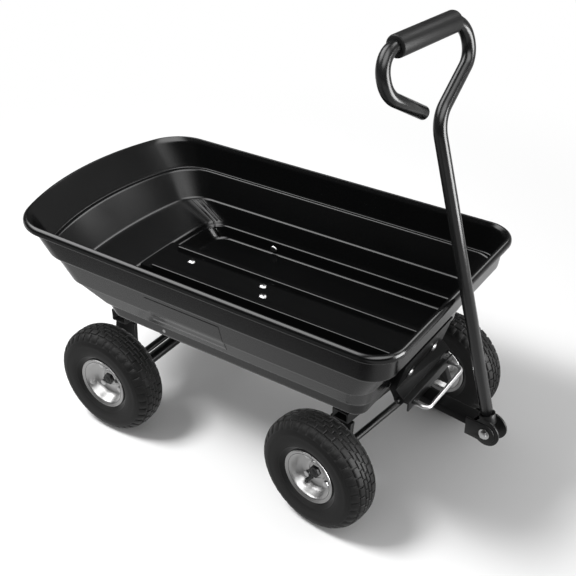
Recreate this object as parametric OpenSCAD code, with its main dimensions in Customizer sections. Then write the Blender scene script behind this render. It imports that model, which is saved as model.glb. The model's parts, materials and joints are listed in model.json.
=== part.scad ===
// Tipping dump cart: a moulded tub on a steel frame with four wheels, a steered front axle,
// a folding pull handle and a tray that tips back once its latch is pulled.
// +X is forward, +Y is the left side, +Z is up, and the cart stands on Z = 0.

/* [Wheels] */
// Outer diameter of a tyre
tyre_d = 260; // [240:1:280]
// Width of a tyre
tyre_w = 84; // [76:1:90]
// Diameter of the rim at its rolled edge
rim_d = 118; // [110:1:130]
// Thickness of the pressed rim sheet
rim_t = 2.5; // [2:0.1:4]
// Diameter of the axle rods
axle_d = 16; // [12:1:20]
// Distance between the wheel centres of one axle
track = 478; // [470:1:500]
// Distance between the front and the rear axle
wheelbase = 592; // [570:1:640]
// Outer diameter of a wheel hub
hub_d = 34; // [30:1:40]

/* [Tray] */
// Width of the tray over its lip
tray_w = 583; // [570:1:600]
// How much wider the tray is at the front than at the rear
tray_taper = 8; // [0:1:12]
// Reach of the lip in front of the king pin
front_overhang = 145; // [135:1:155]
// Reach of the lip behind the rear axle
rear_overhang = 269; // [255:1:290]
// Depth of the tub from its lip to its floor
tub_depth = 212; // [190:1:230]
// Wall of the tub
wall = 4; // [3:0.5:5]
// Height of the rolled lip
lip_h = 16; // [12:1:20]
// Width of the rolled lip
lip_w = 16; // [13:1:19]
// Corner radius of the lip at the front
front_corner_r = 68; // [60:1:85]
// Corner radius of the lip at the rear
rear_corner_r = 110; // [95:1:125]
// Radius of the bowed rear lip
rear_bow_r = 590; // [540:10:900]
// Width of the tunnel that the frame runs in
tunnel_w = 128; // [122:1:140]
// Height of the tunnel's side ridges over the floor
tunnel_h = 50; // [46:1:56]
// Height of the side ridges over the strip between them
ridge_h = 10; // [6:1:14]
// Width of a side ridge
ridge_w = 26; // [18:1:30]

/* [Frame] */
// Width of the spine tube
spine_w = 40; // [34:1:46]
// Height of the spine tube
spine_h = 40; // [34:1:46]
// Wall of the square tubes
tube_wall = 3; // [2:0.5:4]
// Width of the crossbeams along the cart
beam_w = 40; // [34:1:46]
// Height of the rear crossbeam
rear_beam_h = 28; // [24:1:32]
// Rise of the rear legs from the axle to the crossbeam
rear_leg_rise = 120; // [112:1:130]
// Height of the steering crossbeam
front_beam_h = 24; // [20:1:28]
// Height of the turntable collar
collar_h = 29; // [24:1:34]
// Diameter of the king pin
king_pin_d = 16; // [12:1:20]
// Diameter of the tipping hinge pin
hinge_pin_d = 12; // [10:1:14]

/* [Handle] */
// Diameter of the handle tube
handle_d = 26; // [24:1:30]
// Lean of the parked handle from upright
handle_lean = 16.4; // [14:0.1:19]
// Distance from the clevis bolt to the middle of the hand grip
handle_l = 797; // [740:1:850]
// Half width of the handle's loop
loop_half_w = 130; // [120:1:140]
// Diameter of the hand grip
grip_d = 42; // [38:1:46]
// Steering lock to each side of straight ahead
steer_lock = 18; // [16:1:22]
// Turn of the front axle to the right, as the cart stands
steer_angle = 7.2; // [0:0.1:8]

/* [Latch] */
// Width of the latch housing
housing_w = 210; // [190:1:230]
// Diameter of the latch rod
latch_rod_d = 8; // [6:1:10]
// Diameter of the bail wire
bail_d = 9.5; // [7:0.5:10]
// Reach of the bail in front of the latch bar
bail_reach = 34; // [28:1:42]

/* [Hidden] */

// Roundness of true curves
$fn = 64;
// How far a cut runs past the face that it opens
over = 1;
// Gap of a running fit, on the radius
run_fit = 0.06;
// Gap between pieces that rest on or pass close to each other
rest_gap = 0.4;
// Gap between pieces that move past each other with room
pass_gap = 0.8;
left = 1;
right = -1;
black_steel = "#232426";
zinc = "#c9cbce";
rubber = "#2b2b2c";
silver = "#a9abae";
black_plastic = "#1b1c1e";

// Heights of the frame, stacked from the axles up
axle_z = tyre_d / 2;
rear_beam_z = axle_z + rear_leg_rise;
spine_z = rear_beam_z + rear_beam_h;
spine_top_z = spine_z + spine_h;
plate_t = 6;
collar_z = spine_z - plate_t - collar_h;
washer_t = 3;
front_beam_top_z = collar_z - washer_t;
front_beam_z = front_beam_top_z - front_beam_h;

// Heights of the tray, stacked on the spine
channel_t = 4;
channel_top_z = spine_top_z + rest_gap + channel_t;
strip_z = channel_top_z + wall;
floor_z = strip_z + ridge_h - tunnel_h;
lip_z = floor_z + tub_depth;

// Tongue, clevis and handle, measured from the king pin along the steered axle's own X
tongue_h = 18;
tongue_z = front_beam_z + (front_beam_h - tongue_h) / 3;
pivot_drop = 7;
pivot_z = tongue_z + tongue_h / 2 - pivot_drop;
lip_round = lip_h / 4;
shaft_reach = (front_overhang + handle_d / 2 / cos(handle_lean) + pass_gap) / cos(steer_lock);
pivot_x = shaft_reach + (lip_z - lip_round - pivot_z) * tan(handle_lean);
ear_r = 22;
ear_t = 4;
foot_r = 30;
cheek_t = 3.5;
cheek_y = handle_d / 2 + rest_gap;
ear_y = cheek_y + cheek_t + rest_gap;

// Places along the cart, centred between the rear lip and the handle's foot
front_reach = (pivot_x + foot_r) * cos(steer_angle) + (cheek_y + cheek_t) * sin(steer_angle);
rear_axle_x = (rear_overhang - wheelbase - front_reach) / 2;
king_x = rear_axle_x + wheelbase;
hinge_back = 20;
hinge_x = rear_axle_x - hinge_back;
hinge_z = spine_z + spine_h / 2;

// Puts a piece of the front axle in its steered place
module steered() {
    translate([king_x, 0, 0]) rotate([0, 0, -steer_angle]) children();
}

// A rod along Y about the origin
module rod(d, l) {
    rotate([90, 0, 0]) cylinder(d = d, h = l, center = true);
}

// A plate in the XZ plane, l wide along Y about the origin
module plate_xz(points, l) {
    rotate([90, 0, 0]) linear_extrude(height = l, center = true) polygon(points);
}

// A square tube along X or Y, with open ends
module square_tube(size, along_x) {
    bore = [
        along_x ? size.x + 2 * over : size.x - 2 * tube_wall,
        along_x ? size.y - 2 * tube_wall : size.y + 2 * over,
        size.z - 2 * tube_wall
    ];
    difference() {
        cube(size, center = true);
        cube(bore, center = true);
    }
}

// A hexagon nut or bolt head along Z
module hexagon(across, h) {
    cylinder(d = across / cos(30), h = h, $fn = 6);
}

// A low domed bolt head along Z, seated on Z = 0
module dome_head(d, h) {
    sphere_r = (d * d / 4 + h * h) / (2 * h);
    intersection() {
        translate([0, 0, h - sphere_r]) sphere(r = sphere_r);
        cylinder(d = d, h = h);
    }
}

/* Frame */

module spine_tube() {
    tube_l = spine_front_x - hinge_x;
    color(black_steel) difference() {
        union() {
            translate([(spine_front_x + hinge_x) / 2, 0, hinge_z])
                square_tube([tube_l, spine_w, spine_h], true);
            translate([hinge_x, 0, hinge_z]) rod(spine_h, spine_w);
        }
        translate([hinge_x, 0, hinge_z]) rod(hinge_pin_d + 2 * run_fit, spine_w + 2 * over);
        translate([king_x, 0, spine_z - over])
            cylinder(d = king_pin_d + 2 * run_fit, h = tube_wall + 2 * over);
    }
}

rear_tilt = 8;
front_tilt = 18;
leg_t = 4;
leg_flange = 12;
leg_top_w = 48;
leg_foot_w = 76;
leg_below = 20;
boss_d = 30;
hub_inner_shares = 0.405;
hub_inner = tyre_w * hub_inner_shares;
boss_end = track / 2 - hub_inner - pass_gap;
boss_l = 28;
leg_y = boss_end - boss_l / 2 - leg_flange / 2;

// The outline of a leg, inset by a margin, from below the axle to past the beam
module leg_outline(rise, inset) {
    polygon([
        [-leg_foot_w / 2 + inset, -leg_below + inset],
        [leg_foot_w / 2 - inset, -leg_below + inset],
        [leg_top_w / 2 - inset, rise],
        [-leg_top_w / 2 + inset, rise]
    ]);
}

// The closed blank of a leg on the left side: leaning in by tilt, trimmed under the beam
module leg_blank(rise, tilt, depth, inset, lift) {
    intersection() {
        translate([0, leg_y, axle_z]) rotate([tilt, 0, 0]) translate([0, depth + lift, 0])
            rotate([90, 0, 0]) linear_extrude(height = depth)
                leg_outline(rise / cos(tilt) + leg_below, inset);
        translate([-leg_foot_w, 0, 0]) cube([2 * leg_foot_w, track, axle_z + rise]);
    }
}

// A pressed leg: a dished plate, open to the wheel, with a boss for the axle
module pressed_leg(rise, tilt, side) {
    mirror([0, side == left ? 0 : 1, 0]) difference() {
        union() {
            difference() {
                leg_blank(rise, tilt, leg_flange, 0, 0);
                leg_blank(rise + over, tilt, leg_flange, leg_t, leg_t);
            }
            translate([0, boss_end - boss_l / 2, axle_z]) rod(boss_d, boss_l);
        }
        translate([0, boss_end - boss_l / 2, axle_z])
            rod(axle_d + 2 * run_fit, boss_l + 2 * over);
    }
}

module rear_leg(side) {
    color(black_steel) translate([rear_axle_x, 0, 0])
        pressed_leg(rear_leg_rise, rear_tilt, side);
}

module rear_leg_left() { rear_leg(left); }
module rear_leg_right() { rear_leg(right); }

rear_beam_back = 8;
rear_beam_half = leg_y + leg_flange / 2;

module rear_crossbeam() {
    color(black_steel)
        translate([rear_axle_x - rear_beam_back, 0, rear_beam_z + rear_beam_h / 2])
            square_tube([beam_w, 2 * rear_beam_half, rear_beam_h], false);
}

nut_t = 9;
nut_across = 24;
hub_outer = 7;
nut_gap = rest_gap;
axle_end = track / 2 + hub_outer + nut_gap + nut_t;

module axle_rod() {
    translate([0, 0, axle_z]) rod(axle_d, 2 * axle_end);
}

module axle_nuts() {
    for (side = [left, right])
        translate([0, side * (track / 2 + hub_outer + nut_gap), axle_z]) rotate([-90 * side, 0, 0])
            difference() {
                hexagon(nut_across, nut_t);
                translate([0, 0, -over]) cylinder(d = axle_d + 2 * run_fit, h = nut_t + 2 * over);
            }
}

module rear_axle() {
    color(black_steel) translate([rear_axle_x, 0, 0]) axle_rod();
}

module rear_axle_nuts() {
    color(zinc) translate([rear_axle_x, 0, 0]) axle_nuts();
}

cross_tube_d = 26;
cross_tube_front = 19;
cross_tube_drop = 12;

module rear_cross_tube() {
    color(black_steel) difference() {
        translate([rear_axle_x + cross_tube_front, 0, axle_z - cross_tube_drop])
            rod(cross_tube_d, 2 * leg_y + leg_flange);
        for (side = [left, right]) translate([rear_axle_x, 0, 0]) {
            mirror([0, side == left ? 0 : 1, 0])
                leg_blank(rear_leg_rise, rear_tilt, 2 * leg_flange, 0, 0);
            translate([0, side * (boss_end - boss_l / 2), axle_z])
                rod(boss_d + 2 * rest_gap, boss_l + 2 * rest_gap);
        }
    }
}

hinge_ear_t = 5;
channel_half = tunnel_w / 2 - 2 * wall - pass_gap;
hinge_ear_y = channel_half - channel_t - pass_gap - hinge_ear_t;
hinge_ear_r = 16;

module hinge_ears() {
    base_front = rear_axle_x - rear_beam_back + beam_w / 2;
    color(black_steel) for (side = [left, right])
        translate([0, side * (hinge_ear_y + hinge_ear_t / 2), 0]) difference() {
            union() {
                translate([hinge_x, 0, hinge_z]) rod(2 * hinge_ear_r, hinge_ear_t);
                intersection() {
                    plate_xz([
                        [hinge_x - hinge_ear_r / 2, spine_z],
                        [base_front, spine_z],
                        [hinge_x + hinge_ear_r, hinge_z],
                        [hinge_x - hinge_ear_r, hinge_z]
                    ], hinge_ear_t);
                    translate([hinge_x, 0, hinge_z]) rod(4 * hinge_ear_r, hinge_ear_t);
                }
            }
            translate([hinge_x, 0, hinge_z])
                rod(hinge_pin_d + 2 * run_fit, hinge_ear_t + 2 * over);
        }
}

collar_d = 56;
turntable_half_l = 52;
turntable_w = 84;
strike_front = 65;

module turntable() {
    color(black_steel) difference() {
        union() {
            translate([king_x - turntable_half_l, -turntable_w / 2, spine_z - plate_t])
                cube([turntable_half_l + strike_front, turntable_w, plate_t]);
            translate([king_x, 0, collar_z]) cylinder(d = collar_d, h = collar_h);
        }
        translate([king_x, 0, collar_z - over])
            cylinder(d = king_pin_d + 2 * run_fit, h = collar_h + plate_t + 2 * over);
    }
}

pin_nut_t = 12;
pin_head_t = 9;
pin_across = 24;

module king_pin() {
    pin_z = front_beam_z - rest_gap - pin_nut_t;
    head_z = spine_z + tube_wall;
    color(zinc) translate([king_x, 0, 0]) {
        translate([0, 0, pin_z]) cylinder(d = king_pin_d, h = head_z - pin_z);
        translate([0, 0, head_z]) hexagon(pin_across, pin_head_t);
    }
}

module king_pin_nut() {
    color(zinc) translate([king_x, 0, front_beam_z - rest_gap - pin_nut_t]) difference() {
        hexagon(pin_across, pin_nut_t);
        translate([0, 0, -over]) cylinder(d = king_pin_d + 2 * run_fit, h = pin_nut_t + 2 * over);
    }
}

strike_l = 18;
strike_w = 60;
strike_t = 6;

module strike_plate() {
    color(black_steel)
        translate([king_x + strike_front - strike_l, -strike_w / 2, spine_z - plate_t - strike_t])
            cube([strike_l, strike_w, strike_t]);
}

/* Steering */

front_leg_rise = front_beam_z - axle_z;
front_beam_half = leg_y - (front_leg_rise - leg_flange) * tan(front_tilt) + leg_flange;

module steering_crossbeam() {
    color(black_steel) steered() difference() {
        translate([0, 0, front_beam_z + front_beam_h / 2])
            square_tube([beam_w, 2 * front_beam_half, front_beam_h], false);
        translate([0, 0, front_beam_z - over])
            cylinder(d = king_pin_d + 2 * run_fit, h = front_beam_h + 2 * over);
    }
}

module front_leg(side) {
    color(black_steel) steered() pressed_leg(front_leg_rise, front_tilt, side);
}

module front_leg_left() { front_leg(left); }
module front_leg_right() { front_leg(right); }

module front_axle() {
    color(black_steel) steered() axle_rod();
}

module front_axle_nuts() {
    color(zinc) steered() axle_nuts();
}

module thrust_washer() {
    color(zinc) translate([king_x, 0, front_beam_top_z]) difference() {
        cylinder(d = collar_d, h = washer_t - rest_gap);
        translate([0, 0, -over]) cylinder(d = king_pin_d + 2 * run_fit, h = washer_t + 2 * over);
    }
}

tongue_end_x = pivot_x - foot_r - pass_gap;

module tongue() {
    tongue_l = tongue_end_x - beam_w / 2;
    color(black_steel) steered()
        translate([beam_w / 2 + tongue_l / 2, 0, tongue_z + tongue_h / 2])
            square_tube([tongue_l, 2 * ear_y, tongue_h], true);
}

ear_back = 14;

module clevis_ears() {
    rear_x = tongue_end_x - ear_back;
    top_z = tongue_z + tongue_h;
    color(black_steel) steered() for (side = [left, right])
        translate([0, side * (ear_y + ear_t / 2), 0]) difference() {
            union() {
                translate([pivot_x, 0, pivot_z]) rod(2 * ear_r, ear_t);
                plate_xz([
                    [rear_x, pivot_z - ear_r],
                    [pivot_x, pivot_z - ear_r],
                    [pivot_x, pivot_z + ear_r],
                    [rear_x + ear_back, top_z + ear_t],
                    [rear_x, top_z + ear_t]
                ], ear_t);
            }
            translate([pivot_x, 0, pivot_z]) rod(clevis_bolt_d + 2 * run_fit, ear_t + 2 * over);
        }
}

clevis_bolt_d = 12;
clevis_head_d = 22;
clevis_head_t = 6;
clevis_nut_across = 19;
clevis_nut_t = 10;
clevis_half = ear_y + ear_t;

module clevis_bolt() {
    shank_l = 2 * clevis_half + clevis_nut_t;
    color(zinc) steered() translate([pivot_x, 0, pivot_z]) {
        translate([0, clevis_nut_t / 2, 0]) rod(clevis_bolt_d, shank_l);
        translate([0, -clevis_half, 0]) rotate([90, 0, 0]) dome_head(clevis_head_d, clevis_head_t);
    }
}

module clevis_nut() {
    color(zinc) steered() translate([pivot_x, clevis_half, pivot_z]) rotate([-90, 0, 0])
        difference() {
            hexagon(clevis_nut_across, clevis_nut_t);
            translate([0, 0, -over])
                cylinder(d = clevis_bolt_d + 2 * run_fit, h = clevis_nut_t + 2 * over);
        }
}

/* Handle: drawn in its own frame, with Y across the cart and Z along the shaft */

module at_handle() {
    steered() translate([pivot_x, 0, pivot_z]) rotate([0, -handle_lean, 0]) children();
}

shaft_foot = 16;
bend_r = 46;
low_corner_r = 26;
top_corner_r = 30;
fork_drop = 152;
side_low_drop = 72;
tip_y = 38;
side_drop = fork_drop - side_low_drop;
// The loop's corners, across and along the shaft, from the shaft's foot round to the free end
loop_path = [
    [0, shaft_foot],
    [0, handle_l - fork_drop],
    [loop_half_w, handle_l - side_low_drop],
    [loop_half_w, handle_l],
    [-loop_half_w, handle_l],
    [-loop_half_w, handle_l - side_low_drop],
    [-tip_y, handle_l - side_low_drop - side_drop * (1 - tip_y / loop_half_w)]
];
loop_radii = [0, bend_r, low_corner_r, top_corner_r, top_corner_r, low_corner_r, 0];

function unit(v) = v / norm(v);
// How far a corner's arc starts before the corner
function corner_trim(path, radii, i) =
    let (a = unit(path[i] - path[i - 1]), b = unit(path[i + 1] - path[i]))
    radii[i] * tan(acos(max(-1, min(1, a * b))) / 2);
function leg_start(path, radii, i) =
    path[i] + (i == 0 ? 0 : corner_trim(path, radii, i)) * unit(path[i + 1] - path[i]);
function leg_end(path, radii, i) =
    path[i + 1] - (i + 1 == len(path) - 1 ? 0 : corner_trim(path, radii, i + 1))
        * unit(path[i + 1] - path[i]);

// A round tube bent along a flat path of straight legs and arcs
module bent_tube(path, radii, d) {
    for (i = [0 : len(path) - 2]) {
        a = leg_start(path, radii, i);
        b = leg_end(path, radii, i);
        translate([0, a.x, a.y]) rotate([-atan2((b - a).x, (b - a).y), 0, 0])
            cylinder(d = d, h = norm(b - a));
    }
    for (i = [1 : len(path) - 2]) {
        a = unit(path[i] - path[i - 1]);
        b = unit(path[i + 1] - path[i]);
        turn = sign(a.x * b.y - a.y * b.x);
        start = path[i] - corner_trim(path, radii, i) * a;
        centre = start + turn * radii[i] * [-a.y, a.x];
        first = atan2((start - centre).y, (start - centre).x);
        sweep = turn * acos(a * b);
        translate([0, centre.x, centre.y]) rotate([90, 0, 90])
            rotate([0, 0, turn > 0 ? first : first + sweep])
                rotate_extrude(angle = abs(sweep)) translate([radii[i], 0]) circle(d = d);
    }
}

bend_steps = 6;
handle_sides = 20;

// Points along a bent tube's middle line, with each corner rounded
function bent_line(path, radii) = concat(
    [path[0]],
    [
        for (i = [1 : len(path) - 2])
            let (
                a = unit(path[i] - path[i - 1]),
                b = unit(path[i + 1] - path[i]),
                turn = sign(a.x * b.y - a.y * b.x),
                start = path[i] - corner_trim(path, radii, i) * a,
                centre = start + turn * radii[i] * [-a.y, a.x],
                first = atan2((start - centre).y, (start - centre).x)
            )
            each arc(centre, radii[i], first, first + turn * acos(a * b), bend_steps)
    ],
    [path[len(path) - 1]]
);

// The direction of a line of points at one of them
function line_way(line, i) = unit(line[min(i + 1, len(line) - 1)] - line[max(i - 1, 0)]);

// A ring of points round a flat line that lies in the YZ plane
function tube_ring(at, way, d, sides) = [
    for (k = [0 : sides - 1])
        let (a = 360 * k / sides, across = d / 2 * cos(a) * [-way.y, way.x])
        [d / 2 * sin(a), at.x + across.x, at.y + across.y]
];

module handle_tube() {
    line = bent_line(loop_path, loop_radii);
    rings = [
        for (i = [0 : len(line) - 1])
            tube_ring(line[i], line_way(line, i), handle_d, handle_sides)
    ];
    color(black_steel) at_handle() skin(rings);
}

plug_t = 5;

module handle_end_plug() {
    last = len(loop_path) - 1;
    way = unit(loop_path[last] - loop_path[last - 1]);
    color(black_plastic) at_handle() translate([0, loop_path[last].x, loop_path[last].y])
        rotate([-atan2(way.x, way.y), 0, 0]) translate([0, 0, run_fit])
            dome_head(handle_d, plug_t);
}

foot_cup_l = 21;
foot_cup_t = 3;

module handle_foot() {
    color(black_steel) at_handle() difference() {
        union() {
            for (side = [left, right]) translate([0, side * (cheek_y + cheek_t / 2), 0]) {
                rod(2 * foot_r, cheek_t);
                translate([-foot_r / 2, -cheek_t / 2, 0])
                    cube([foot_r, cheek_t, shaft_foot + foot_cup_l / 2]);
            }
            translate([0, 0, shaft_foot]) cylinder(r = cheek_y + cheek_t, h = foot_cup_l);
        }
        translate([0, 0, shaft_foot - over])
            cylinder(d = handle_d + 2 * run_fit, h = foot_cup_l + 2 * over);
        rod(clevis_bolt_d + 2 * run_fit, 2 * clevis_half);
    }
}

grip_near = 84;
grip_far = 96;

module hand_grip() {
    color(rubber) at_handle() translate([0, (grip_far - grip_near) / 2, handle_l]) difference() {
        rod(grip_d, grip_far + grip_near);
        rod(handle_d + 2 * run_fit, grip_far + grip_near + 2 * over);
    }
}

/* Wheels: drawn with the axle along Z and the outer face up */

module at_wheel(front, side) {
    if (front)
        steered() translate([0, side * track / 2, axle_z]) rotate([-90 * side, 0, 0]) children();
    else
        translate([rear_axle_x, side * track / 2, axle_z]) rotate([-90 * side, 0, 0]) children();
}

section_power = 2.7;
section_steps = 28;
bead_angle = 50;
tread_groove = 4;
tread_groove_w = 4;
tread_groove_shares = [-0.25, 0.25];
tyre_wall = 9;

// One point of the tyre's rounded section, at an angle about the section's middle
function section_point(angle, inset) =
    let (half_h = (tyre_d - rim_d) / 4 - inset, half_w = tyre_w / 2 - inset)
    [
        (rim_d + tyre_d) / 4 + half_h * sign(sin(angle)) * pow(abs(sin(angle)), 2 / section_power),
        half_w * sign(cos(angle)) * pow(abs(cos(angle)), 2 / section_power)
    ];

// The tyre's section: the outer skin from bead to bead, and the inner skin back again
function tyre_section() =
    let (
        step = (180 + 2 * bead_angle) / section_steps,
        angles = [for (k = [0 : section_steps]) k * step - bead_angle],
        outer = [for (a = angles) section_point(a, 0)],
        inner = [for (k = [section_steps : -1 : 0]) section_point(angles[k], tyre_wall)],
        seat_r = barrel_r + run_fit
    )
    concat(
        outer,
        [[seat_r, outer[section_steps].y], [seat_r, inner[0].y]],
        inner,
        [[seat_r, inner[section_steps].y], [seat_r, outer[0].y]]
    );

rim_half_w_shares = 0.41;
rim_half_w = tyre_w * rim_half_w_shares;
rim_lip_h = 5;
barrel_r = rim_d / 2 - rim_lip_h;

module tyre(front, side) {
    color(rubber) at_wheel(front, side) rotate_extrude() difference() {
        polygon(tyre_section());
        for (share = tread_groove_shares)
            translate([tyre_d / 2 - tread_groove, share * tyre_w - tread_groove_w / 2])
                square([2 * tread_groove, tread_groove_w]);
    }
}

web_r = hub_d / 2 + run_fit;

// One pressed rim half: a web at the wheel's middle, a flaring barrel and a rolled edge
module rim_half() {
    rotate_extrude() union() {
        polygon([
            [web_r, 0],
            [barrel_r - rim_t, 0],
            [barrel_r, rim_t],
            [barrel_r, rim_half_w],
            [barrel_r - rim_t, rim_half_w],
            [barrel_r - 2 * rim_t, rim_t],
            [web_r, rim_t]
        ]);
        translate([barrel_r - rim_t, rim_half_w - rim_t]) square([rim_lip_h + rim_t, rim_t]);
        translate([rim_d / 2, rim_half_w]) circle(r = rim_t);
    }
}

bolt_count = 4;
bolt_circle_r_shares = 0.6;
bolt_circle_r = rim_d / 2 * bolt_circle_r_shares;
rim_bolt_d = 8;
rim_head_across = 13;
rim_head_t = 5;

module rim_bolt_places() {
    for (k = [0 : bolt_count - 1]) rotate([0, 0, 360 * (k + 1 / 2) / bolt_count])
        translate([bolt_circle_r, 0, 0]) children();
}

module rim(front, side, outer) {
    color(silver) at_wheel(front, side) mirror([0, 0, outer ? 0 : 1]) difference() {
        rim_half();
        rim_bolt_places() translate([0, 0, -over])
            cylinder(d = rim_bolt_d + 2 * run_fit, h = rim_t + 2 * over);
    }
}

module hub(front, side) {
    color(silver) at_wheel(front, side) difference() {
        translate([0, 0, -hub_inner]) cylinder(d = hub_d, h = hub_inner + hub_outer);
        translate([0, 0, -hub_inner - over])
            cylinder(d = axle_d + 2 * run_fit, h = hub_inner + hub_outer + 2 * over);
    }
}

module rim_bolts(front, side) {
    color(zinc) at_wheel(front, side) rim_bolt_places() {
        translate([0, 0, -rim_t - rim_head_t]) cylinder(d = rim_bolt_d, h = 2 * rim_t + rim_head_t);
        translate([0, 0, rim_t]) hexagon(rim_head_across, rim_head_t);
        translate([0, 0, -rim_t - rim_head_t]) hexagon(rim_head_across, rim_head_t);
    }
}

module front_left_tyre() { tyre(true, left); }
module front_left_rim_outer() { rim(true, left, true); }
module front_left_rim_inner() { rim(true, left, false); }
module front_left_hub() { hub(true, left); }
module front_left_bolts() { rim_bolts(true, left); }
module front_right_tyre() { tyre(true, right); }
module front_right_rim_outer() { rim(true, right, true); }
module front_right_rim_inner() { rim(true, right, false); }
module front_right_hub() { hub(true, right); }
module front_right_bolts() { rim_bolts(true, right); }
module rear_left_tyre() { tyre(false, left); }
module rear_left_rim_outer() { rim(false, left, true); }
module rear_left_rim_inner() { rim(false, left, false); }
module rear_left_hub() { hub(false, left); }
module rear_left_bolts() { rim_bolts(false, left); }
module rear_right_tyre() { tyre(false, right); }
module rear_right_rim_outer() { rim(false, right, true); }
module rear_right_rim_inner() { rim(false, right, false); }
module rear_right_hub() { hub(false, right); }
module rear_right_bolts() { rim_bolts(false, right); }

/* Tub */

lip_front_x = king_x + front_overhang;
lip_rear_x = rear_axle_x - rear_overhang;
side_flare = 86;
front_flare = 102;
rear_flare = 252;

// The tub's inner form from the lip down. Each row gives shares of: the depth, the side flare,
// the front flare, the rear flare, the front corner radius, the rear corner radius and the rear
// bow's curvature, and whether the outer form has the row too
inner_form_shares = [
    [0.962, 0.190, 0.165, 0.068, 0.84, 0.95, 1.00, 0],
    [0.690, 0.260, 0.240, 0.190, 0.76, 0.91, 1.00, 1],
    [0.674, 0.282, 0.262, 0.198, 0.74, 0.90, 1.00, 1],
    [0.668, 0.362, 0.330, 0.230, 0.72, 0.90, 1.00, 1],
    [0.378, 0.645, 0.715, 0.506, 0.57, 0.68, 0.60, 0],
    [0.366, 0.692, 0.745, 0.526, 0.56, 0.67, 0.60, 1],
    [0.226, 0.810, 0.830, 0.870, 0.50, 0.42, 0.25, 1],
    [0.150, 0.878, 0.872, 0.900, 0.46, 0.40, 0.25, 1],
    [0.140, 0.918, 0.900, 0.912, 0.45, 0.38, 0.25, 1],
    [0.020, 0.948, 0.960, 0.980, 0.36, 0.32, 0.25, 1],
    [0.000, 1.000, 1.000, 1.000, 0.30, 0.28, 0.25, 1]
];

corner_steps = 5;
bow_steps = 6;

// Points on a circle's arc, both ends included
function arc(centre, r, from, to, steps) = [
    for (k = [0 : steps])
        let (a = from + (to - from) * k / steps)
        centre + r * [cos(a), sin(a)]
];

// One closed outline of the tub at a height, in from the lip's sides by side
function tub_ring(z, side, front_x, rear_x, front_r, rear_r, bow_r) =
    let (
        half_front = tray_w / 2 + tray_taper / 4 - side,
        half_rear = tray_w / 2 - tray_taper / 2 - side,
        bow = asin((half_rear - rear_r) / (bow_r - rear_r)),
        bow_x = rear_x + bow_r,
        corner_x = bow_x - (bow_r - rear_r) * cos(bow),
        front_at = [front_x - front_r, half_front - front_r],
        rear_at = [corner_x, half_rear - rear_r],
        half = concat(
            arc(front_at, front_r, 0, 90, corner_steps),
            arc(rear_at, rear_r, 90, 180 - bow, corner_steps)
        ),
        back = arc([bow_x, 0], bow_r, 180 - bow, 180 + bow, bow_steps),
        other = [for (k = [len(half) - 1 : -1 : 0]) [half[k].x, -half[k].y]]
    )
    [for (p = concat(half, [for (k = [1 : bow_steps - 1]) back[k]], other)) [p.x, p.y, z]];

// A ring of the inner or outer form from its row of shares
function form_ring(row, out) = tub_ring(
    floor_z + row[0] * tub_depth - out,
    row[1] * side_flare - out,
    lip_front_x - row[2] * front_flare + out,
    lip_rear_x + row[3] * rear_flare - out,
    row[4] * front_corner_r + out,
    row[5] * rear_corner_r + out,
    rear_bow_r / row[6] + out
);

// A ring of the rolled lip, in from the lip's outline by inset
function lip_ring(z, inset) = tub_ring(
    z, inset, lip_front_x - inset, lip_rear_x + inset,
    front_corner_r - inset, rear_corner_r - inset, rear_bow_r - inset
);

lip_soft = lip_w / 4;
skirt_z = lip_z - lip_h;

function tub_rings() = concat(
    [for (k = [len(inner_form_shares) - 1 : -1 : 0]) if (inner_form_shares[k][7] == 1)
        form_ring(inner_form_shares[k], wall)],
    [
        lip_ring(skirt_z, lip_w - wall / 2),
        lip_ring(skirt_z, lip_soft / 2),
        lip_ring(skirt_z + lip_round, 0),
        lip_ring(lip_z - lip_round, 0),
        lip_ring(lip_z - lip_round / 4, lip_soft / 2),
        lip_ring(lip_z, lip_soft * 3 / 2),
        lip_ring(lip_z, lip_w - lip_soft)
    ],
    [for (row = inner_form_shares) form_ring(row, 0)]
);

// The middle of a ring of points
function middle(ring) = [for (p = ring) 1] * ring / len(ring);

// A closed skin through a stack of rings that each have the same count of points
module skin(rings) {
    n = len(rings[0]);
    last = len(rings) - 1;
    points = concat([for (ring = rings) each ring], [middle(rings[0]), middle(rings[last])]);
    sides = [
        for (r = [0 : last - 1], k = [0 : n - 1])
            let (a = r * n + k, b = r * n + (k + 1) % n)
            each [[a, a + n, b], [b, a + n, b + n]]
    ];
    caps = [
        for (k = [0 : n - 1]) each [
            [k, (k + 1) % n, (last + 1) * n],
            [last * n + (k + 1) % n, last * n + k, (last + 1) * n + 1]
        ]
    ];
    polyhedron(points = points, faces = concat(sides, caps));
}

// Height row and place of the tub's outer front wall
function front_wall_x(row) = lip_front_x - inner_form_shares[row][2] * front_flare + wall;
function wall_z(row) = floor_z + inner_form_shares[row][0] * tub_depth - wall;
foot_row = 6;
groove_row = 7;
edge_row = 9;
mid_row = 5;
floor_front_x = lip_front_x - front_flare;
floor_rear_x = lip_rear_x + rear_flare;
spine_front_x = floor_front_x - wall - 3 * pass_gap;
slope_foot_x = lip_rear_x + inner_form_shares[foot_row][3] * rear_flare;
ridge_top_z = strip_z + ridge_h;
ridge_lean = 4;
ridge_slope = 5;
ridge_rear_x = floor_rear_x + wall;

// A prism along X from a half outline in Y and Z, mirrored across the middle
module tunnel_prism(half_points, from_x, to_x) {
    other = [
        for (k = [len(half_points) - 1 : -1 : 0]) [-half_points[k].x, half_points[k].y]
    ];
    translate([from_x, 0, 0]) rotate([90, 0, 90]) linear_extrude(height = to_x - from_x)
        polygon(concat(half_points, other));
}

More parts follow.
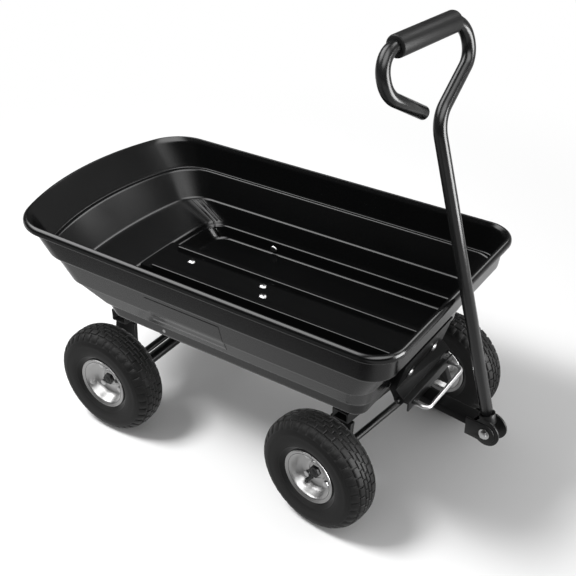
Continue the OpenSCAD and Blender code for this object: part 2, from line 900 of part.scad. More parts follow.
module tunnel_shell() {
    base_z = floor_z - wall / 2;
    top_half = tunnel_w / 2 - ridge_lean;
    wall_line = [
        for (z = [wall_z(edge_row), wall_z(groove_row), wall_z(foot_row), ridge_top_z - wall / 2])
            [front_wall_at(z) - wall / 2, z + wall / 2]
    ];
    intersection() {
        union() {
            tunnel_prism(
                [[tunnel_w / 2, base_z], [top_half, strip_z]], slope_foot_x - wall, lip_front_x
            );
            for (side = [left, right]) translate([ridge_rear_x, 0, 0]) rotate([90, 0, 90])
                linear_extrude(height = lip_front_x - ridge_rear_x) polygon([
                    [side * top_half, strip_z - wall],
                    [side * top_half, ridge_top_z],
                    [side * (top_half - ridge_w + ridge_slope), ridge_top_z],
                    [side * (top_half - ridge_w), strip_z - wall]
                ]);
        }
        plate_xz(concat([
            [slope_foot_x - wall, ridge_top_z],
            [slope_foot_x - wall, strip_z],
            [slope_foot_x - wall / 2, strip_z - ridge_h],
            [floor_rear_x - wall / 2, base_z],
            [floor_front_x + wall / 2, base_z]
        ], wall_line), tunnel_w);
    }
}

module tunnel_hollow() {
    under_z = floor_z - wall - over;
    tunnel_prism(
        [[tunnel_w / 2 - wall, under_z], [tunnel_w / 2 - ridge_lean - wall, strip_z - wall]],
        slope_foot_x, floor_front_x - wall
    );
}

tub_bolt_d = 8;
tub_head_d = 19;
tub_head_h = 5;
// Places of the strip's bolts: shares of the distance from the hinge to the king pin, and of the
// strip's half width
strip_bolt_shares = [[0.110, 0.37], [0.440, 0.50], [0.478, -0.50]];
side_bolt_shares = 0.275;
side_bolt_rise = 13;
strip_half = tunnel_w / 2 - ridge_lean - ridge_w;
side_bolt_x = hinge_x + side_bolt_shares * (king_x - hinge_x);
side_bolt_l = 9;
groove_face_y = tray_w / 2 - tray_taper / 2 - side_flare * inner_form_shares[edge_row][1];

module strip_bolt_places() {
    for (share = strip_bolt_shares)
        translate([hinge_x + share[0] * (king_x - hinge_x), share[1] * strip_half, strip_z])
            children();
}

module side_bolt_places() {
    for (side = [left, right])
        translate([side_bolt_x, side * groove_face_y, floor_z + side_bolt_rise])
            rotate([90 * side, 0, 0]) children();
}

module tub() {
    color(black_plastic) difference() {
        union() {
            skin(tub_rings());
            tunnel_shell();
        }
        tunnel_hollow();
        strip_bolt_places() translate([0, 0, -wall - over])
            cylinder(d = tub_bolt_d + 2 * run_fit, h = wall + 2 * over);
        side_bolt_places() translate([0, 0, -side_bolt_l - wall])
            cylinder(d = tub_bolt_d + 2 * run_fit, h = side_bolt_l + wall);
    }
}

module tub_bolts() {
    color(zinc) strip_bolt_places() {
        dome_head(tub_head_d, tub_head_h);
        translate([0, 0, -wall - channel_t]) cylinder(d = tub_bolt_d, h = wall + channel_t);
    }
    color(zinc) side_bolt_places() {
        dome_head(tub_head_d, tub_head_h);
        translate([0, 0, -side_bolt_l]) cylinder(d = tub_bolt_d, h = side_bolt_l);
    }
}

channel_drop = 32;
channel_front_x = floor_front_x - 2 * wall;
channel_clear_x = hinge_x + spine_h / 2 + pass_gap;

module tipping_channel() {
    web_z = channel_top_z - channel_t;
    web_l = channel_front_x - channel_clear_x;
    color(black_steel) difference() {
        union() {
            translate([channel_clear_x, -channel_half, web_z])
                cube([web_l, 2 * channel_half, channel_t]);
            for (side = [left, right])
                translate([0, side * (channel_half - channel_t / 2), 0]) {
                    plate_xz([
                        [hinge_x, hinge_z - hinge_ear_r],
                        [channel_clear_x + channel_drop, channel_top_z - channel_drop],
                        [channel_front_x, channel_top_z - channel_drop],
                        [channel_front_x, channel_top_z],
                        [channel_clear_x, channel_top_z],
                        [hinge_x, hinge_z + hinge_ear_r]
                    ], channel_t);
                    translate([hinge_x, 0, hinge_z]) rod(2 * hinge_ear_r, channel_t);
                }
        }
        translate([hinge_x, 0, hinge_z])
            rod(hinge_pin_d + 2 * run_fit, 2 * channel_half + 2 * over);
        strip_bolt_places() translate([0, 0, -wall - channel_t - over])
            cylinder(d = tub_bolt_d + 2 * run_fit, h = channel_t + 2 * over);
    }
}

module hinge_pin() {
    color(zinc) translate([hinge_x, 0, hinge_z]) rod(hinge_pin_d, 2 * channel_half + wall);
}

rail_t = 3;
rail_w = 34;
rail_rear_shares = 0.24;
rail_rear_x = hinge_x + rail_rear_shares * (king_x - hinge_x);
rail_front_x = king_x;

module side_rail(side) {
    rail_y = tray_w / 2 - side_flare - rail_w;
    color(black_steel) mirror([0, side == left ? 0 : 1, 0])
        translate([rail_rear_x, rail_y, floor_z - wall - rail_t])
            cube([rail_front_x - rail_rear_x, rail_w, rail_t]);
}

module side_rail_left() { side_rail(left); }
module side_rail_right() { side_rail(right); }

/* Latch */

housing_t = 3;
housing_depth = 15;
housing_z = wall_z(edge_row) + rail_t;
housing_top_z = wall_z(mid_row) - wall;
latch_front = 24;
latch_drop = 22;
latch_x = front_wall_x(edge_row) + latch_front;
latch_z = housing_z - latch_drop;
eye_r = 11;

// Place of the outer front wall at a height between the tub's rows
function front_wall_at(z) = lookup(z, [
    for (row = [edge_row, groove_row, foot_row, mid_row]) [wall_z(row), front_wall_x(row)]
]);

front_low = front_wall_at(housing_z) + housing_depth;
front_top = front_wall_at(housing_top_z) + housing_depth;
housing_lean = atan2(front_top - front_low, housing_top_z - housing_z);
hood_rise = 6;
hood_x = latch_x + eye_r - pass_gap;
hood_z = latch_z + hood_rise;
hood_lean = atan2(hood_x - front_low, housing_z - hood_z);

module latch_housing() {
    wall_line = [
        for (z = [housing_z, wall_z(groove_row), wall_z(foot_row), housing_top_z])
            [front_wall_at(z) + rest_gap, z]
    ];
    color(black_steel) difference() {
        union() {
            plate_xz([
                [wall_line[3].x, housing_top_z],
                [front_top, housing_top_z],
                [front_low, housing_z],
                [hood_x, hood_z],
                [hood_x - housing_t * cos(hood_lean), hood_z - housing_t * sin(hood_lean)],
                [front_low - housing_t, housing_z - housing_t * tan(hood_lean / 2)],
                [front_top - housing_t, housing_top_z - housing_t],
                [wall_line[3].x, housing_top_z - housing_t]
            ], housing_w);
            for (side = [left, right])
                translate([0, side * (housing_w - housing_t) / 2, 0]) {
                    plate_xz(concat(wall_line, [
                        [front_top, housing_top_z],
                        [front_low, housing_z],
                        [hood_x, hood_z],
                        [hood_x, latch_z],
                        [latch_x - eye_r, latch_z]
                    ]), housing_t);
                    translate([latch_x, 0, latch_z]) rod(2 * eye_r, housing_t);
                }
        }
        translate([latch_x, 0, latch_z]) rod(latch_rod_d + 2 * run_fit, housing_w + 2 * over);
        housing_bolt_places() translate([0, 0, -housing_depth])
            cylinder(d = tub_bolt_d + 2 * run_fit, h = 2 * housing_depth);
    }
}

housing_bolt_shares = 0.25;
housing_bolt_rise = 13;
housing_bolt_l = 9;

module housing_bolt_places() {
    for (side = [left, right])
        translate([
            front_low + housing_bolt_rise * tan(housing_lean),
            side * housing_bolt_shares * housing_w,
            housing_z + housing_bolt_rise
        ]) rotate([0, 90 + housing_lean, 0]) children();
}

module housing_bolts() {
    color(zinc) housing_bolt_places() {
        dome_head(tub_head_d, tub_head_h);
        translate([0, 0, -housing_bolt_l]) cylinder(d = tub_bolt_d, h = housing_bolt_l);
    }
}

rod_stub = 7;

module latch_rod() {
    color(black_steel) translate([latch_x, 0, latch_z]) rod(latch_rod_d, housing_w + 2 * rod_stub);
}

barrel_t = 3.5;
bar_half = housing_w / 2 - housing_t - pass_gap;
spring_l = 26;
bar_depth = 22;
bar_h = 22;
bar_t = 4;
catch_w = 44;
catch_gap = pass_gap;

module latch_bar() {
    front_x = latch_x + bar_depth;
    top_z = latch_z - latch_rod_d / 4;
    strike_x = king_x + strike_front;
    left_end = bar_half - spring_l;
    color(black_steel) difference() {
        union() {
            translate([latch_x, (left_end - bar_half) / 2, latch_z])
                rod(latch_rod_d + 2 * barrel_t, left_end + bar_half);
            translate([latch_x, -bar_half, top_z - bar_t])
                cube([bar_depth, left_end + bar_half, bar_t]);
            translate([front_x - bar_t, -bar_half, top_z - bar_h]) cube([bar_t, 2 * bar_half, bar_h]);
            translate([strike_x + catch_gap, -catch_w / 2, top_z - bar_h])
                cube([front_x - strike_x - catch_gap, catch_w, bar_t]);
        }
        translate([latch_x, 0, latch_z]) rod(latch_rod_d + 2 * run_fit, 2 * bar_half + 2 * over);
    }
}

bail_half_shares = 0.385;
bail_corner_r = 15;
bail_dip = 5;

module bail() {
    half = bail_half_shares * housing_w;
    front_x = latch_x + bar_depth;
    root_z = latch_z - latch_rod_d / 4 - bar_t - bail_d / 2;
    dip = atan2(bail_dip, bail_reach);
    color(zinc) translate([front_x, 0, root_z]) rotate([0, 90 + dip, 0])
        intersection() {
            bent_tube(
                [[half, 0], [half, bail_reach], [-half, bail_reach], [-half, 0]],
                [0, bail_corner_r, bail_corner_r, 0], bail_d
            );
            rotate([0, -dip, 0]) translate([-bail_reach, -housing_w / 2, rest_gap / 2])
                cube([2 * bail_reach, housing_w, 2 * bail_reach]);
        }
}

spring_wire = 1.8;
spring_turns = 6;
spring_pitch = (spring_l - 2 * pass_gap - spring_wire) / spring_turns;
spring_r = latch_rod_d / 2 + rest_gap + spring_wire / 2;
spring_rings = 8;
wire_sides = 6;

function spring_at(turn) = [
    spring_r * cos(360 * turn), spring_pitch * turn, spring_r * sin(360 * turn)
];

// Points round the wire at a turn of the coil
function wire_ring(turn) = [
    for (k = [0 : wire_sides - 1])
        let (
            a = 360 * k / wire_sides,
            r = spring_r + spring_wire / 2 * cos(a),
            rise = spring_pitch * turn + spring_wire / 2 * sin(a)
        )
        [r * cos(360 * turn), rise, r * sin(360 * turn)]
];

spring_path = [for (k = [0 : spring_turns * spring_rings]) spring_at(k / spring_rings)];
spring_gap = min([
    for (a = spring_path, b = spring_path)
        if (abs(a.y - b.y) > spring_pitch / 2) norm(a - b) - spring_wire
]);
echo(least_gap_of_the_spring_to_itself = spring_gap);

module latch_spring() {
    rings = [for (k = [0 : spring_turns * spring_rings]) wire_ring(k / spring_rings)];
    last = len(rings) - 1;
    sides = [
        for (r = [0 : last - 1], k = [0 : wire_sides - 1])
            let (a = r * wire_sides + k, b = r * wire_sides + (k + 1) % wire_sides)
            each [[a, b, a + wire_sides], [b, b + wire_sides, a + wire_sides]]
    ];
    caps = [
        for (k = [1 : wire_sides - 2]) each [
            [0, k + 1, k],
            [last * wire_sides, last * wire_sides + k, last * wire_sides + k + 1]
        ]
    ];
    color(zinc) translate([latch_x, bar_half - spring_l + pass_gap + spring_wire / 2, latch_z])
        polyhedron(points = [for (ring = rings) each ring], faces = concat(sides, caps));
}

spine_tube();
rear_crossbeam();
rear_leg_left();
rear_leg_right();
rear_axle();
rear_cross_tube();
rear_axle_nuts();
hinge_ears();
turntable();
king_pin();
king_pin_nut();
strike_plate();
steering_crossbeam();
front_leg_left();
front_leg_right();
front_axle();
front_axle_nuts();
thrust_washer();
tongue();
clevis_ears();
clevis_bolt();
clevis_nut();
handle_tube();
handle_end_plug();
handle_foot();
hand_grip();
front_left_tyre();
front_left_rim_outer();
front_left_rim_inner();
front_left_hub();
front_left_bolts();
front_right_tyre();
front_right_rim_outer();
front_right_rim_inner();
front_right_hub();
front_right_bolts();
rear_left_tyre();
rear_left_rim_outer();
rear_left_rim_inner();
rear_left_hub();
rear_left_bolts();
rear_right_tyre();
rear_right_rim_outer();
rear_right_rim_inner();
rear_right_hub();
rear_right_bolts();
tub();
tipping_channel();
side_rail_left();
side_rail_right();
tub_bolts();
hinge_pin();
latch_housing();
housing_bolts();
latch_rod();
latch_spring();
latch_bar();
bail();
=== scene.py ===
import json
import math
from collections import namedtuple

import bmesh
import bpy
from mathutils import Matrix, Vector

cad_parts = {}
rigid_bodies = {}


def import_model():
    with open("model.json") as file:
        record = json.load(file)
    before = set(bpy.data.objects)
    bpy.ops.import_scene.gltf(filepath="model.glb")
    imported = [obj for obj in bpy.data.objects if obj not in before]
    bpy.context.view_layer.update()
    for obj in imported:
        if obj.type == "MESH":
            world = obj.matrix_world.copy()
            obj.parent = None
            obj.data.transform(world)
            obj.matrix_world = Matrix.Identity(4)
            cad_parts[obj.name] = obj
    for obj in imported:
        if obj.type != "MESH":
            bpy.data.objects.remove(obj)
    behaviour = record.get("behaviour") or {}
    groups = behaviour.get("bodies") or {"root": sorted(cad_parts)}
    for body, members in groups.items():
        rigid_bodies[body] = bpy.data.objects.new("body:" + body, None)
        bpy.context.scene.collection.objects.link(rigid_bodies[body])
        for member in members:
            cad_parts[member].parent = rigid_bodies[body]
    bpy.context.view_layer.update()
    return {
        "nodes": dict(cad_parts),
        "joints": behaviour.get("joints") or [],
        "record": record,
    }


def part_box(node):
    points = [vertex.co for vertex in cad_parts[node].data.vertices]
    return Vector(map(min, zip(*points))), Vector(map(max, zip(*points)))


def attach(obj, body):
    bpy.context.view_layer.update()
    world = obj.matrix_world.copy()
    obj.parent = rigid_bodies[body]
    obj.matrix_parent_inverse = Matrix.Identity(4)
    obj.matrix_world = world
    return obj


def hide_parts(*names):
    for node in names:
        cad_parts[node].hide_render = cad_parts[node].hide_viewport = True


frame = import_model()
NODES = frame["nodes"]
BODY_OF = {n: b for b, ns in frame["record"]["behaviour"]["bodies"].items() for n in ns}
SLOT_OF = {s["node"]: s["material_slot"] for s in frame["record"]["subparts"]}
JOINTS = {j["name"]: j for j in frame["joints"]}
MM = 0.001
AXIS = 0.0001  # millimetres: the radius at which a turned outline closes

# Places that the CAD frame gives
KING = Vector(JOINTS["steering_turn"]["pos_m"])
CLEVIS = Vector(JOINTS["handle_fold"]["pos_m"])
HINGE = Vector(JOINTS["tray_tip"]["pos_m"])
LATCH = Vector(JOINTS["latch_pull"]["pos_m"])
ACROSS = Vector(JOINTS["handle_fold"]["axis"]).normalized()
STEER = math.atan2(ACROSS.x, ACROSS.y)


# Shader sums: a socket that takes the signs of arithmetic

class Tone:
    """One output socket of a finish. Sums on it add Math nodes."""

    def __init__(self, finish, socket):
        self.finish = finish
        self.socket = socket

    def maths(self, operation, *others):
        return self.finish.node("ShaderNodeMath", {"operation": operation}, [self, *others])

    def __add__(self, other):
        return self.maths("ADD", other)

    __radd__ = __add__

    def __mul__(self, other):
        return self.maths("MULTIPLY", other)

    __rmul__ = __mul__

    def __rsub__(self, other):
        return self.finish.node("ShaderNodeMath", {"operation": "SUBTRACT"}, [other, self])

    def step(self, low, high):
        """0 below low, 1 above high and smooth between them."""
        return self.finish.node(
            "ShaderNodeMapRange", {"interpolation_type": "SMOOTHSTEP"},
            {"Value": self, "From Min": low, "From Max": high},
        )

    def fall(self, low, high):
        """1 below low, 0 above high and smooth between them."""
        return 1.0 - self.step(low, high)


class Finish:
    """A procedural material, or the air round the stage, under construction."""

    def __init__(self, name, owner=None):
        self.material = owner or bpy.data.materials.new(name)
        self.material.use_nodes = True
        self.tree = self.material.node_tree
        self.tree.nodes.clear()

    def node(self, kind, settings=None, values=None, out=0):
        """Adds a node: its settings first, then the values or links of its sockets."""
        made = self.tree.nodes.new(kind)
        for key, value in (settings or {}).items():
            setattr(made, key, value)
        pairs = values.items() if isinstance(values, dict) else enumerate(values or [])
        for key, value in pairs:
            if isinstance(value, Tone):
                self.tree.links.new(value.socket, made.inputs[key])
            else:
                made.inputs[key].default_value = value
        return Tone(self, made.outputs[out]) if made.outputs else None

    def place(self):
        return self.node("ShaderNodeTexCoord", out="Object")

    def ray(self, what):
        """What kind of ray meets the surface, or how often it has bounced."""
        return self.node("ShaderNodeLightPath", out=what)

    def stretched(self, scale):
        """Object coordinates, drawn out by a scale along each axis."""
        return self.node("ShaderNodeMapping", None, {"Vector": self.place(), "Scale": scale})

    def noise(self, scale, detail, rough=0.5, at=None):
        return self.node(
            "ShaderNodeTexNoise", None,
            {"Vector": at or self.place(), "Scale": scale, "Detail": detail, "Roughness": rough},
        )

    def blend(self, share, low, high):
        """A colour between two colours."""
        return self.node(
            "ShaderNodeMix", {"data_type": "RGBA"}, {0: share, 6: low, 7: high}, out=2
        )

    def bump(self, height, depth, strength, under=None):
        """A normal from a height, over another bump where one is given."""
        values = {"Height": height, "Distance": depth, "Strength": strength}
        if under is not None:
            values["Normal"] = under
        return self.node("ShaderNodeBump", None, values)

    def done(self, **values):
        """Closes the material with one glossy surface shader."""
        shader = self.node(
            "ShaderNodeBsdfPrincipled", None, {k.replace("_", " "): v for k, v in values.items()}
        )
        self.node("ShaderNodeOutputMaterial", None, {"Surface": shader})
        return self.material


def grey(level, warm=0.0):
    """A grey, a little warmer or, below zero, cooler."""
    return (level * (1 + warm), level, level * (1 - warm), 1.0)


def tub_plastic():
    f = Finish("tub_plastic")
    cloud = f.noise(7.0, 4.0)
    swirl = f.noise(55.0, 5.0, 0.6)
    scuffs = f.noise(160.0, 2.0, 0.7, f.stretched((0.12, 1.0, 1.0))).step(0.66, 0.74)
    peel = f.noise(420.0, 2.0)
    return f.done(
        Base_Color=f.blend(cloud * 0.6 + scuffs * 0.12, grey(0.0022, -0.03), grey(0.0042, -0.03)),
        Roughness=0.13 + cloud * 0.08 + swirl * 0.04 + scuffs * 0.05,
        Normal=f.bump(peel, 0.00004, 0.15, f.bump(cloud, 0.003, 0.06)),
    )


def black_coat(name, dark, pale, rough, spread, shine, grain):
    """Black paint between two greys, with a grain given as its scale, depth and strength."""
    f = Finish(name)
    scale, depth, strength = grain
    cloud = f.noise(14.0, 3.0)
    return f.done(
        Base_Color=f.blend(cloud, grey(dark, -0.02), grey(pale, -0.02)),
        Roughness=rough + cloud * spread,
        Specular_IOR_Level=shine,
        Normal=f.bump(f.noise(scale, 2.0), depth, strength),
    )


def zinc_plate():
    f = Finish("zinc_plate")
    cloud = f.noise(90.0, 4.0)
    streaks = f.noise(700.0, 2.0, 0.6, f.stretched((1.0, 0.15, 1.0)))
    return f.done(
        Base_Color=f.blend(cloud, grey(0.50, 0.015), grey(0.74, -0.01)),
        Metallic=1.0,
        Roughness=0.20 + cloud * 0.16 + streaks * 0.06,
        Normal=f.bump(streaks, 0.00006, 0.5),
    )


def clouded(name, scale, dark, pale, rough, spread, metal=0.0):
    """A plain finish whose shade and roughness vary a little from place to place."""
    f = Finish(name)
    cloud = f.noise(scale, 3.0)
    return f.done(
        Base_Color=f.blend(cloud, grey(dark), grey(pale)),
        Metallic=metal,
        Roughness=rough + cloud * spread,
    )


def rim_silver():
    f = Finish("rim_silver")
    cloud = f.noise(40.0, 4.0)
    flakes = f.noise(2400.0, 1.0)
    return f.done(
        Base_Color=f.blend(cloud * 0.7 + flakes * 0.3, grey(0.40, 0.01), grey(0.60, 0.0)),
        Metallic=1.0,
        Roughness=0.32 + cloud * 0.14,
        Normal=f.bump(flakes, 0.00004, 0.4),
    )


def tyre_rubber():
    f = Finish("tyre_rubber")
    cloud = f.noise(26.0, 5.0, 0.6)
    dust = f.noise(240.0, 3.0)
    grain = f.noise(1500.0, 2.0)
    return f.done(
        Base_Color=f.blend(cloud * 0.7 + dust * 0.3, grey(0.005), grey(0.013, 0.01)),
        Roughness=0.40 + cloud * 0.20,
        Specular_IOR_Level=0.24,
        Normal=f.bump(grain, 0.00014, 0.5),
    )


def grip_foam():
    f = Finish("grip_foam")
    cells = f.node("ShaderNodeTexVoronoi", None, {"Vector": f.place(), "Scale": 900.0})
    cloud = f.noise(30.0, 4.0)
    return f.done(
        Base_Color=f.blend(cloud, grey(0.008), grey(0.014)),
        Roughness=0.38 + cloud * 0.12,
        Specular_IOR_Level=0.26,
        Normal=f.bump(cells, 0.00008, 0.3),
    )


TUB = tub_plastic()
PEBBLE, PEEL = (900.0, 0.00010, 0.5), (500.0, 0.00002, 0.2)
POWDER = black_coat("powder_coat", 0.005, 0.009, 0.30, 0.12, 0.30, PEBBLE)
# A darker, duller copy of the powder coat for the latch housing and tongue under the tub: painted
# shade.
POWDER_PAINTED_SHADE = black_coat("shaded_coat", 0.003, 0.006, 0.34, 0.12, 0.08, PEBBLE)
HANDLE_COAT = black_coat("handle_coat", 0.007, 0.012, 0.20, 0.06, 0.50, PEEL)
ZINC = zinc_plate()
DARK_NUT = clouded("dark_nut", 200.0, 0.02, 0.06, 0.32, 0.2, 0.8)
RIM = rim_silver()
TYRE = tyre_rubber()
FOAM = grip_foam()
PLUG = clouded("plug_plastic", 300.0, 0.008, 0.014, 0.45, 0.15)
SLOT_FINISH = {
    "black_plastic": TUB, "black_steel": POWDER, "zinc_steel": ZINC, "rim_silver": RIM,
    "tyre_rubber": TYRE, "grip_rubber": FOAM, "plug_plastic": PLUG,
}


# Mesh work

MERGE, CAD_MERGE = 1e-6, 2e-6  # points nearer than this are one
FLAT_ANGLE, EASE_ANGLE = 0.5, 38  # degrees: flatter edges are dissolved, sharper ones are eased
CORNER_SHARE = 0.45  # of a side's length, which a rounded corner may take up
TUBE_END = 0.09  # of a tube's radius, which is eased at its ends


def link(obj):
    bpy.context.scene.collection.objects.link(obj)
    return obj


def finished(mesh, material, sharp):
    """An object from a mesh, with its material and shading."""
    mesh.materials.append(material)
    shade(mesh, sharp)
    return link(bpy.data.objects.new(mesh.name, mesh))


def mesh_piece(name, verts, faces, material, sharp=40):
    """A mesh object from points and faces, smooth but for its sharp edges."""
    mesh = bpy.data.meshes.new(name)
    mesh.from_pydata([tuple(v) for v in verts], [], faces)
    mesh.validate()
    return finished(mesh, material, sharp)


def shade(mesh, sharp):
    """Smooth, but for edges of more than an angle in degrees."""
    mesh.shade_smooth()
    mesh.set_sharp_from_angle(angle=math.radians(sharp))


def outward(mesh):
    """Merges doubles and points a closed mesh's faces outwards."""
    work = bmesh.new()
    work.from_mesh(mesh)
    bmesh.ops.remove_doubles(work, verts=work.verts, dist=MERGE)
    bmesh.ops.recalc_face_normals(work, faces=work.faces)
    work.to_mesh(mesh)
    work.free()


def solid_piece(name, verts, faces, material, sharp=40):
    """A closed mesh object with its faces outwards."""
    piece = mesh_piece(name, verts, faces, material, sharp)
    outward(piece.data)
    shade(piece.data, sharp)
    return piece


def settle(obj, sharp):
    """Turns an object's modifiers into its plain mesh."""
    bpy.context.view_layer.update()
    graph = bpy.context.evaluated_depsgraph_get()
    mesh = bpy.data.meshes.new_from_object(obj.evaluated_get(graph))
    obj.modifiers.clear()
    obj.data = mesh
    shade(mesh, sharp)
    return obj


def merged(name, parts, material, sharp):
    """One object from several that share a material."""
    work = bmesh.new()
    for part in parts:
        work.from_mesh(part.data)
        bpy.data.objects.remove(part)
    mesh = bpy.data.meshes.new(name)
    work.to_mesh(mesh)
    work.free()
    return finished(mesh, material, sharp)


def wear(piece, node):
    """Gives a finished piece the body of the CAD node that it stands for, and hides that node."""
    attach(piece, BODY_OF[node])
    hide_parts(node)


def in_mm(points):
    return [(a * MM, b * MM) for a, b in points]


def circle(radius, count, height=0.0):
    """Points of a ring about Z."""
    turns = [2 * math.pi * k / count for k in range(count)]
    return [(radius * math.cos(a), radius * math.sin(a), height) for a in turns]


def rings_mesh(rings, closed_ends=True):
    """Points and faces of a skin through rings of equal count."""
    count = len(rings[0])
    verts = [p for ring in rings for p in ring]
    last = len(verts) - count
    faces = []
    for start in range(0, last, count):
        for k in range(count):
            a, b = start + k, start + (k + 1) % count
            faces.append((a, b, b + count, a + count))
    if closed_ends:
        faces += [tuple(reversed(range(count))), tuple(range(last, last + count))]
    return verts, faces


def grid_faces(first, columns, rows):
    """Faces of a grid of points that are written row by row from a first one."""
    wide = columns + 1
    starts = [first + j * wide + i for j in range(rows) for i in range(columns)]
    return [(a, a + 1, a + wide + 1, a + wide) for a in starts]


def grid_border(columns, rows):
    """The (column, row) places round the edge of a grid."""
    there = [(i, 0) for i in range(columns)] + [(columns, j) for j in range(rows)]
    return there + [(columns - i, rows - j) for i, j in there]


def eased_corner(before, here, after, radius, steps):
    """A smooth curve round a corner point, and its reach along each side."""
    back, ahead = before - here, after - here
    reach = min(radius, CORNER_SHARE * back.length, CORNER_SHARE * ahead.length)
    start, end = here + back.normalized() * reach, here + ahead.normalized() * reach
    shares = [k / steps for k in range(steps + 1)]
    return [start * (1 - t) ** 2 + here * 2 * t * (1 - t) + end * t * t for t in shares], reach


def rounded_line(points, radius, steps=4, hold=0.0):
    """A line of points of any size, with its inner corners rounded and held by flat margins."""
    out = [points[0]]
    for before, here, after in zip(points, points[1:], points[2:]):
        curve, reach = eased_corner(before, here, after, radius, steps)
        back, ahead = before - here, after - here
        if hold and reach + hold < CORNER_SHARE * back.length:
            out.append(curve[0] + back.normalized() * hold)
        out += curve
        if hold and reach + hold < CORNER_SHARE * ahead.length:
            out.append(curve[-1] + ahead.normalized() * hold)
    out.append(points[-1])
    return out


def lathe(profile, count, name, material, sharp=30):
    """A closed outline of (radius, height) points turned about Z."""
    rings = [circle(radius, count, height) for radius, height in [*profile, profile[0]]]
    return solid_piece(name, *rings_mesh(rings, False), material, sharp)


def tube(path, radius, sides, name, material):
    """A round tube along points in space, with softly rounded ends."""
    last = len(path) - 1
    ways = [(path[min(i + 1, last)] - path[max(i - 1, 0)]).normalized() for i in range(last + 1)]
    side = ways[0].orthogonal().normalized()
    rings = []
    for i, (at, way) in enumerate(zip(path, ways)):
        side = (side - way * side.dot(way)).normalized()
        other = way.cross(side)
        ring = [at + side * x + other * y for x, y, _ in circle(radius, sides)]
        end = [at + (p - at) * (1 - TUBE_END) for p in ring]
        inward = way * radius * TUBE_END
        if i == 0:
            rings += [end, [p + inward for p in ring]]
        elif i == last:
            rings += [[p - inward for p in ring], end]
        else:
            rings.append(ring)
    return solid_piece(name, *rings_mesh(rings), material, 50)


def softened(node, width, material=None):
    """A merged copy of a CAD node with its hard edges eased, in place of the node."""
    mesh = NODES[node].data.copy()
    work = bmesh.new()
    work.from_mesh(mesh)
    bmesh.ops.remove_doubles(work, verts=work.verts, dist=CAD_MERGE)
    flat = math.radians(FLAT_ANGLE)
    bmesh.ops.dissolve_limit(work, angle_limit=flat, verts=work.verts, edges=work.edges)
    work.to_mesh(mesh)
    work.free()
    piece = link(bpy.data.objects.new(node + "_eased", mesh))
    mesh.materials.clear()
    mesh.materials.append(material or SLOT_FINISH[SLOT_OF[node]])
    bevel = piece.modifiers.new("ease", "BEVEL")
    bevel.width = width
    bevel.segments = 2
    bevel.limit_method = "ANGLE"
    bevel.angle_limit = math.radians(EASE_ANGLE)
    settle(piece, 32)
    wear(piece, node)


# Frame, steering and latch: the CAD shapes with edges eased by so many millimetres

for node_name, ease in {
    "spine_tube": 2.0, "rear_crossbeam": 0.9, "rear_leg_left": 1.6, "rear_leg_right": 1.6,
    "rear_cross_tube": 0.4, "hinge_ears": 1.0, "turntable": 1.2, "king_pin": 0.8,
    "king_pin_nut": 0.8, "strike_plate": 1.0, "steering_crossbeam": 2.0, "front_leg_left": 1.6,
    "front_leg_right": 1.6, "rear_axle": 0.8, "front_axle": 0.8, "thrust_washer": 0.5,
    "clevis_ears": 1.2, "clevis_nut": 0.8, "handle_foot": 1.0, "tipping_channel": 1.2,
    "side_rail_left": 0.8, "side_rail_right": 0.8, "hinge_pin": 0.8, "latch_rod": 0.8,
    "latch_bar": 1.0, "handle_end_plug": 0.8,
}.items():
    softened(node_name, ease * MM)
for node_name in ("rear_axle_nuts", "front_axle_nuts"):
    softened(node_name, 0.8 * MM, DARK_NUT)
softened("latch_housing", 0.9 * MM, POWDER_PAINTED_SHADE)
softened("tongue", 2.0 * MM, POWDER_PAINTED_SHADE)


# Tub: a stack of outlines from the lip to the floor, on the same shares as the solid

LIP_FRONT, LIP_REAR = KING.x + 145 * MM, HINGE.x - 249 * MM
TRAY_W, TRAY_TAPER = 583 * MM, 8 * MM
FLOOR_Z, TUB_DEPTH, WALL = 286.4 * MM, 212 * MM, 4 * MM
LIP_H, LIP_W, LIP_ROLL = 16 * MM, 16 * MM, 10 * MM
SIDE_FLARE, FRONT_FLARE, REAR_FLARE = 86 * MM, 102 * MM, 252 * MM
FRONT_CORNER, REAR_CORNER, REAR_BOW = 68 * MM, 110 * MM, 590 * MM
STRIP_Z, RIDGE_H, RIDGE_W, TUNNEL_W = 326.4 * MM, 10 * MM, 26 * MM, 128 * MM
RIDGE_LEAN, RIDGE_SLOPE, RIDGE_EDGE = 4 * MM, 5 * MM, 2.2 * MM
FORM_EDGE, FORM_HOLD, END_MARGIN = 4.5 * MM, 1.5 * MM, 14 * MM
REAR_REACH = 1.25  # of a rear corner's radius: about where the side wall starts to turn
BOW_UNIT = 0.01  # over a bow's radius: the bow as a number that blends evenly from row to row

# Points along one outline: each corner, each side, the rear and the front
CORNER_STEPS, SIDE_STEPS, REAR_STEPS, NOSE_STEPS = 14, 24, 20, 12
ROLL_STEPS = 9

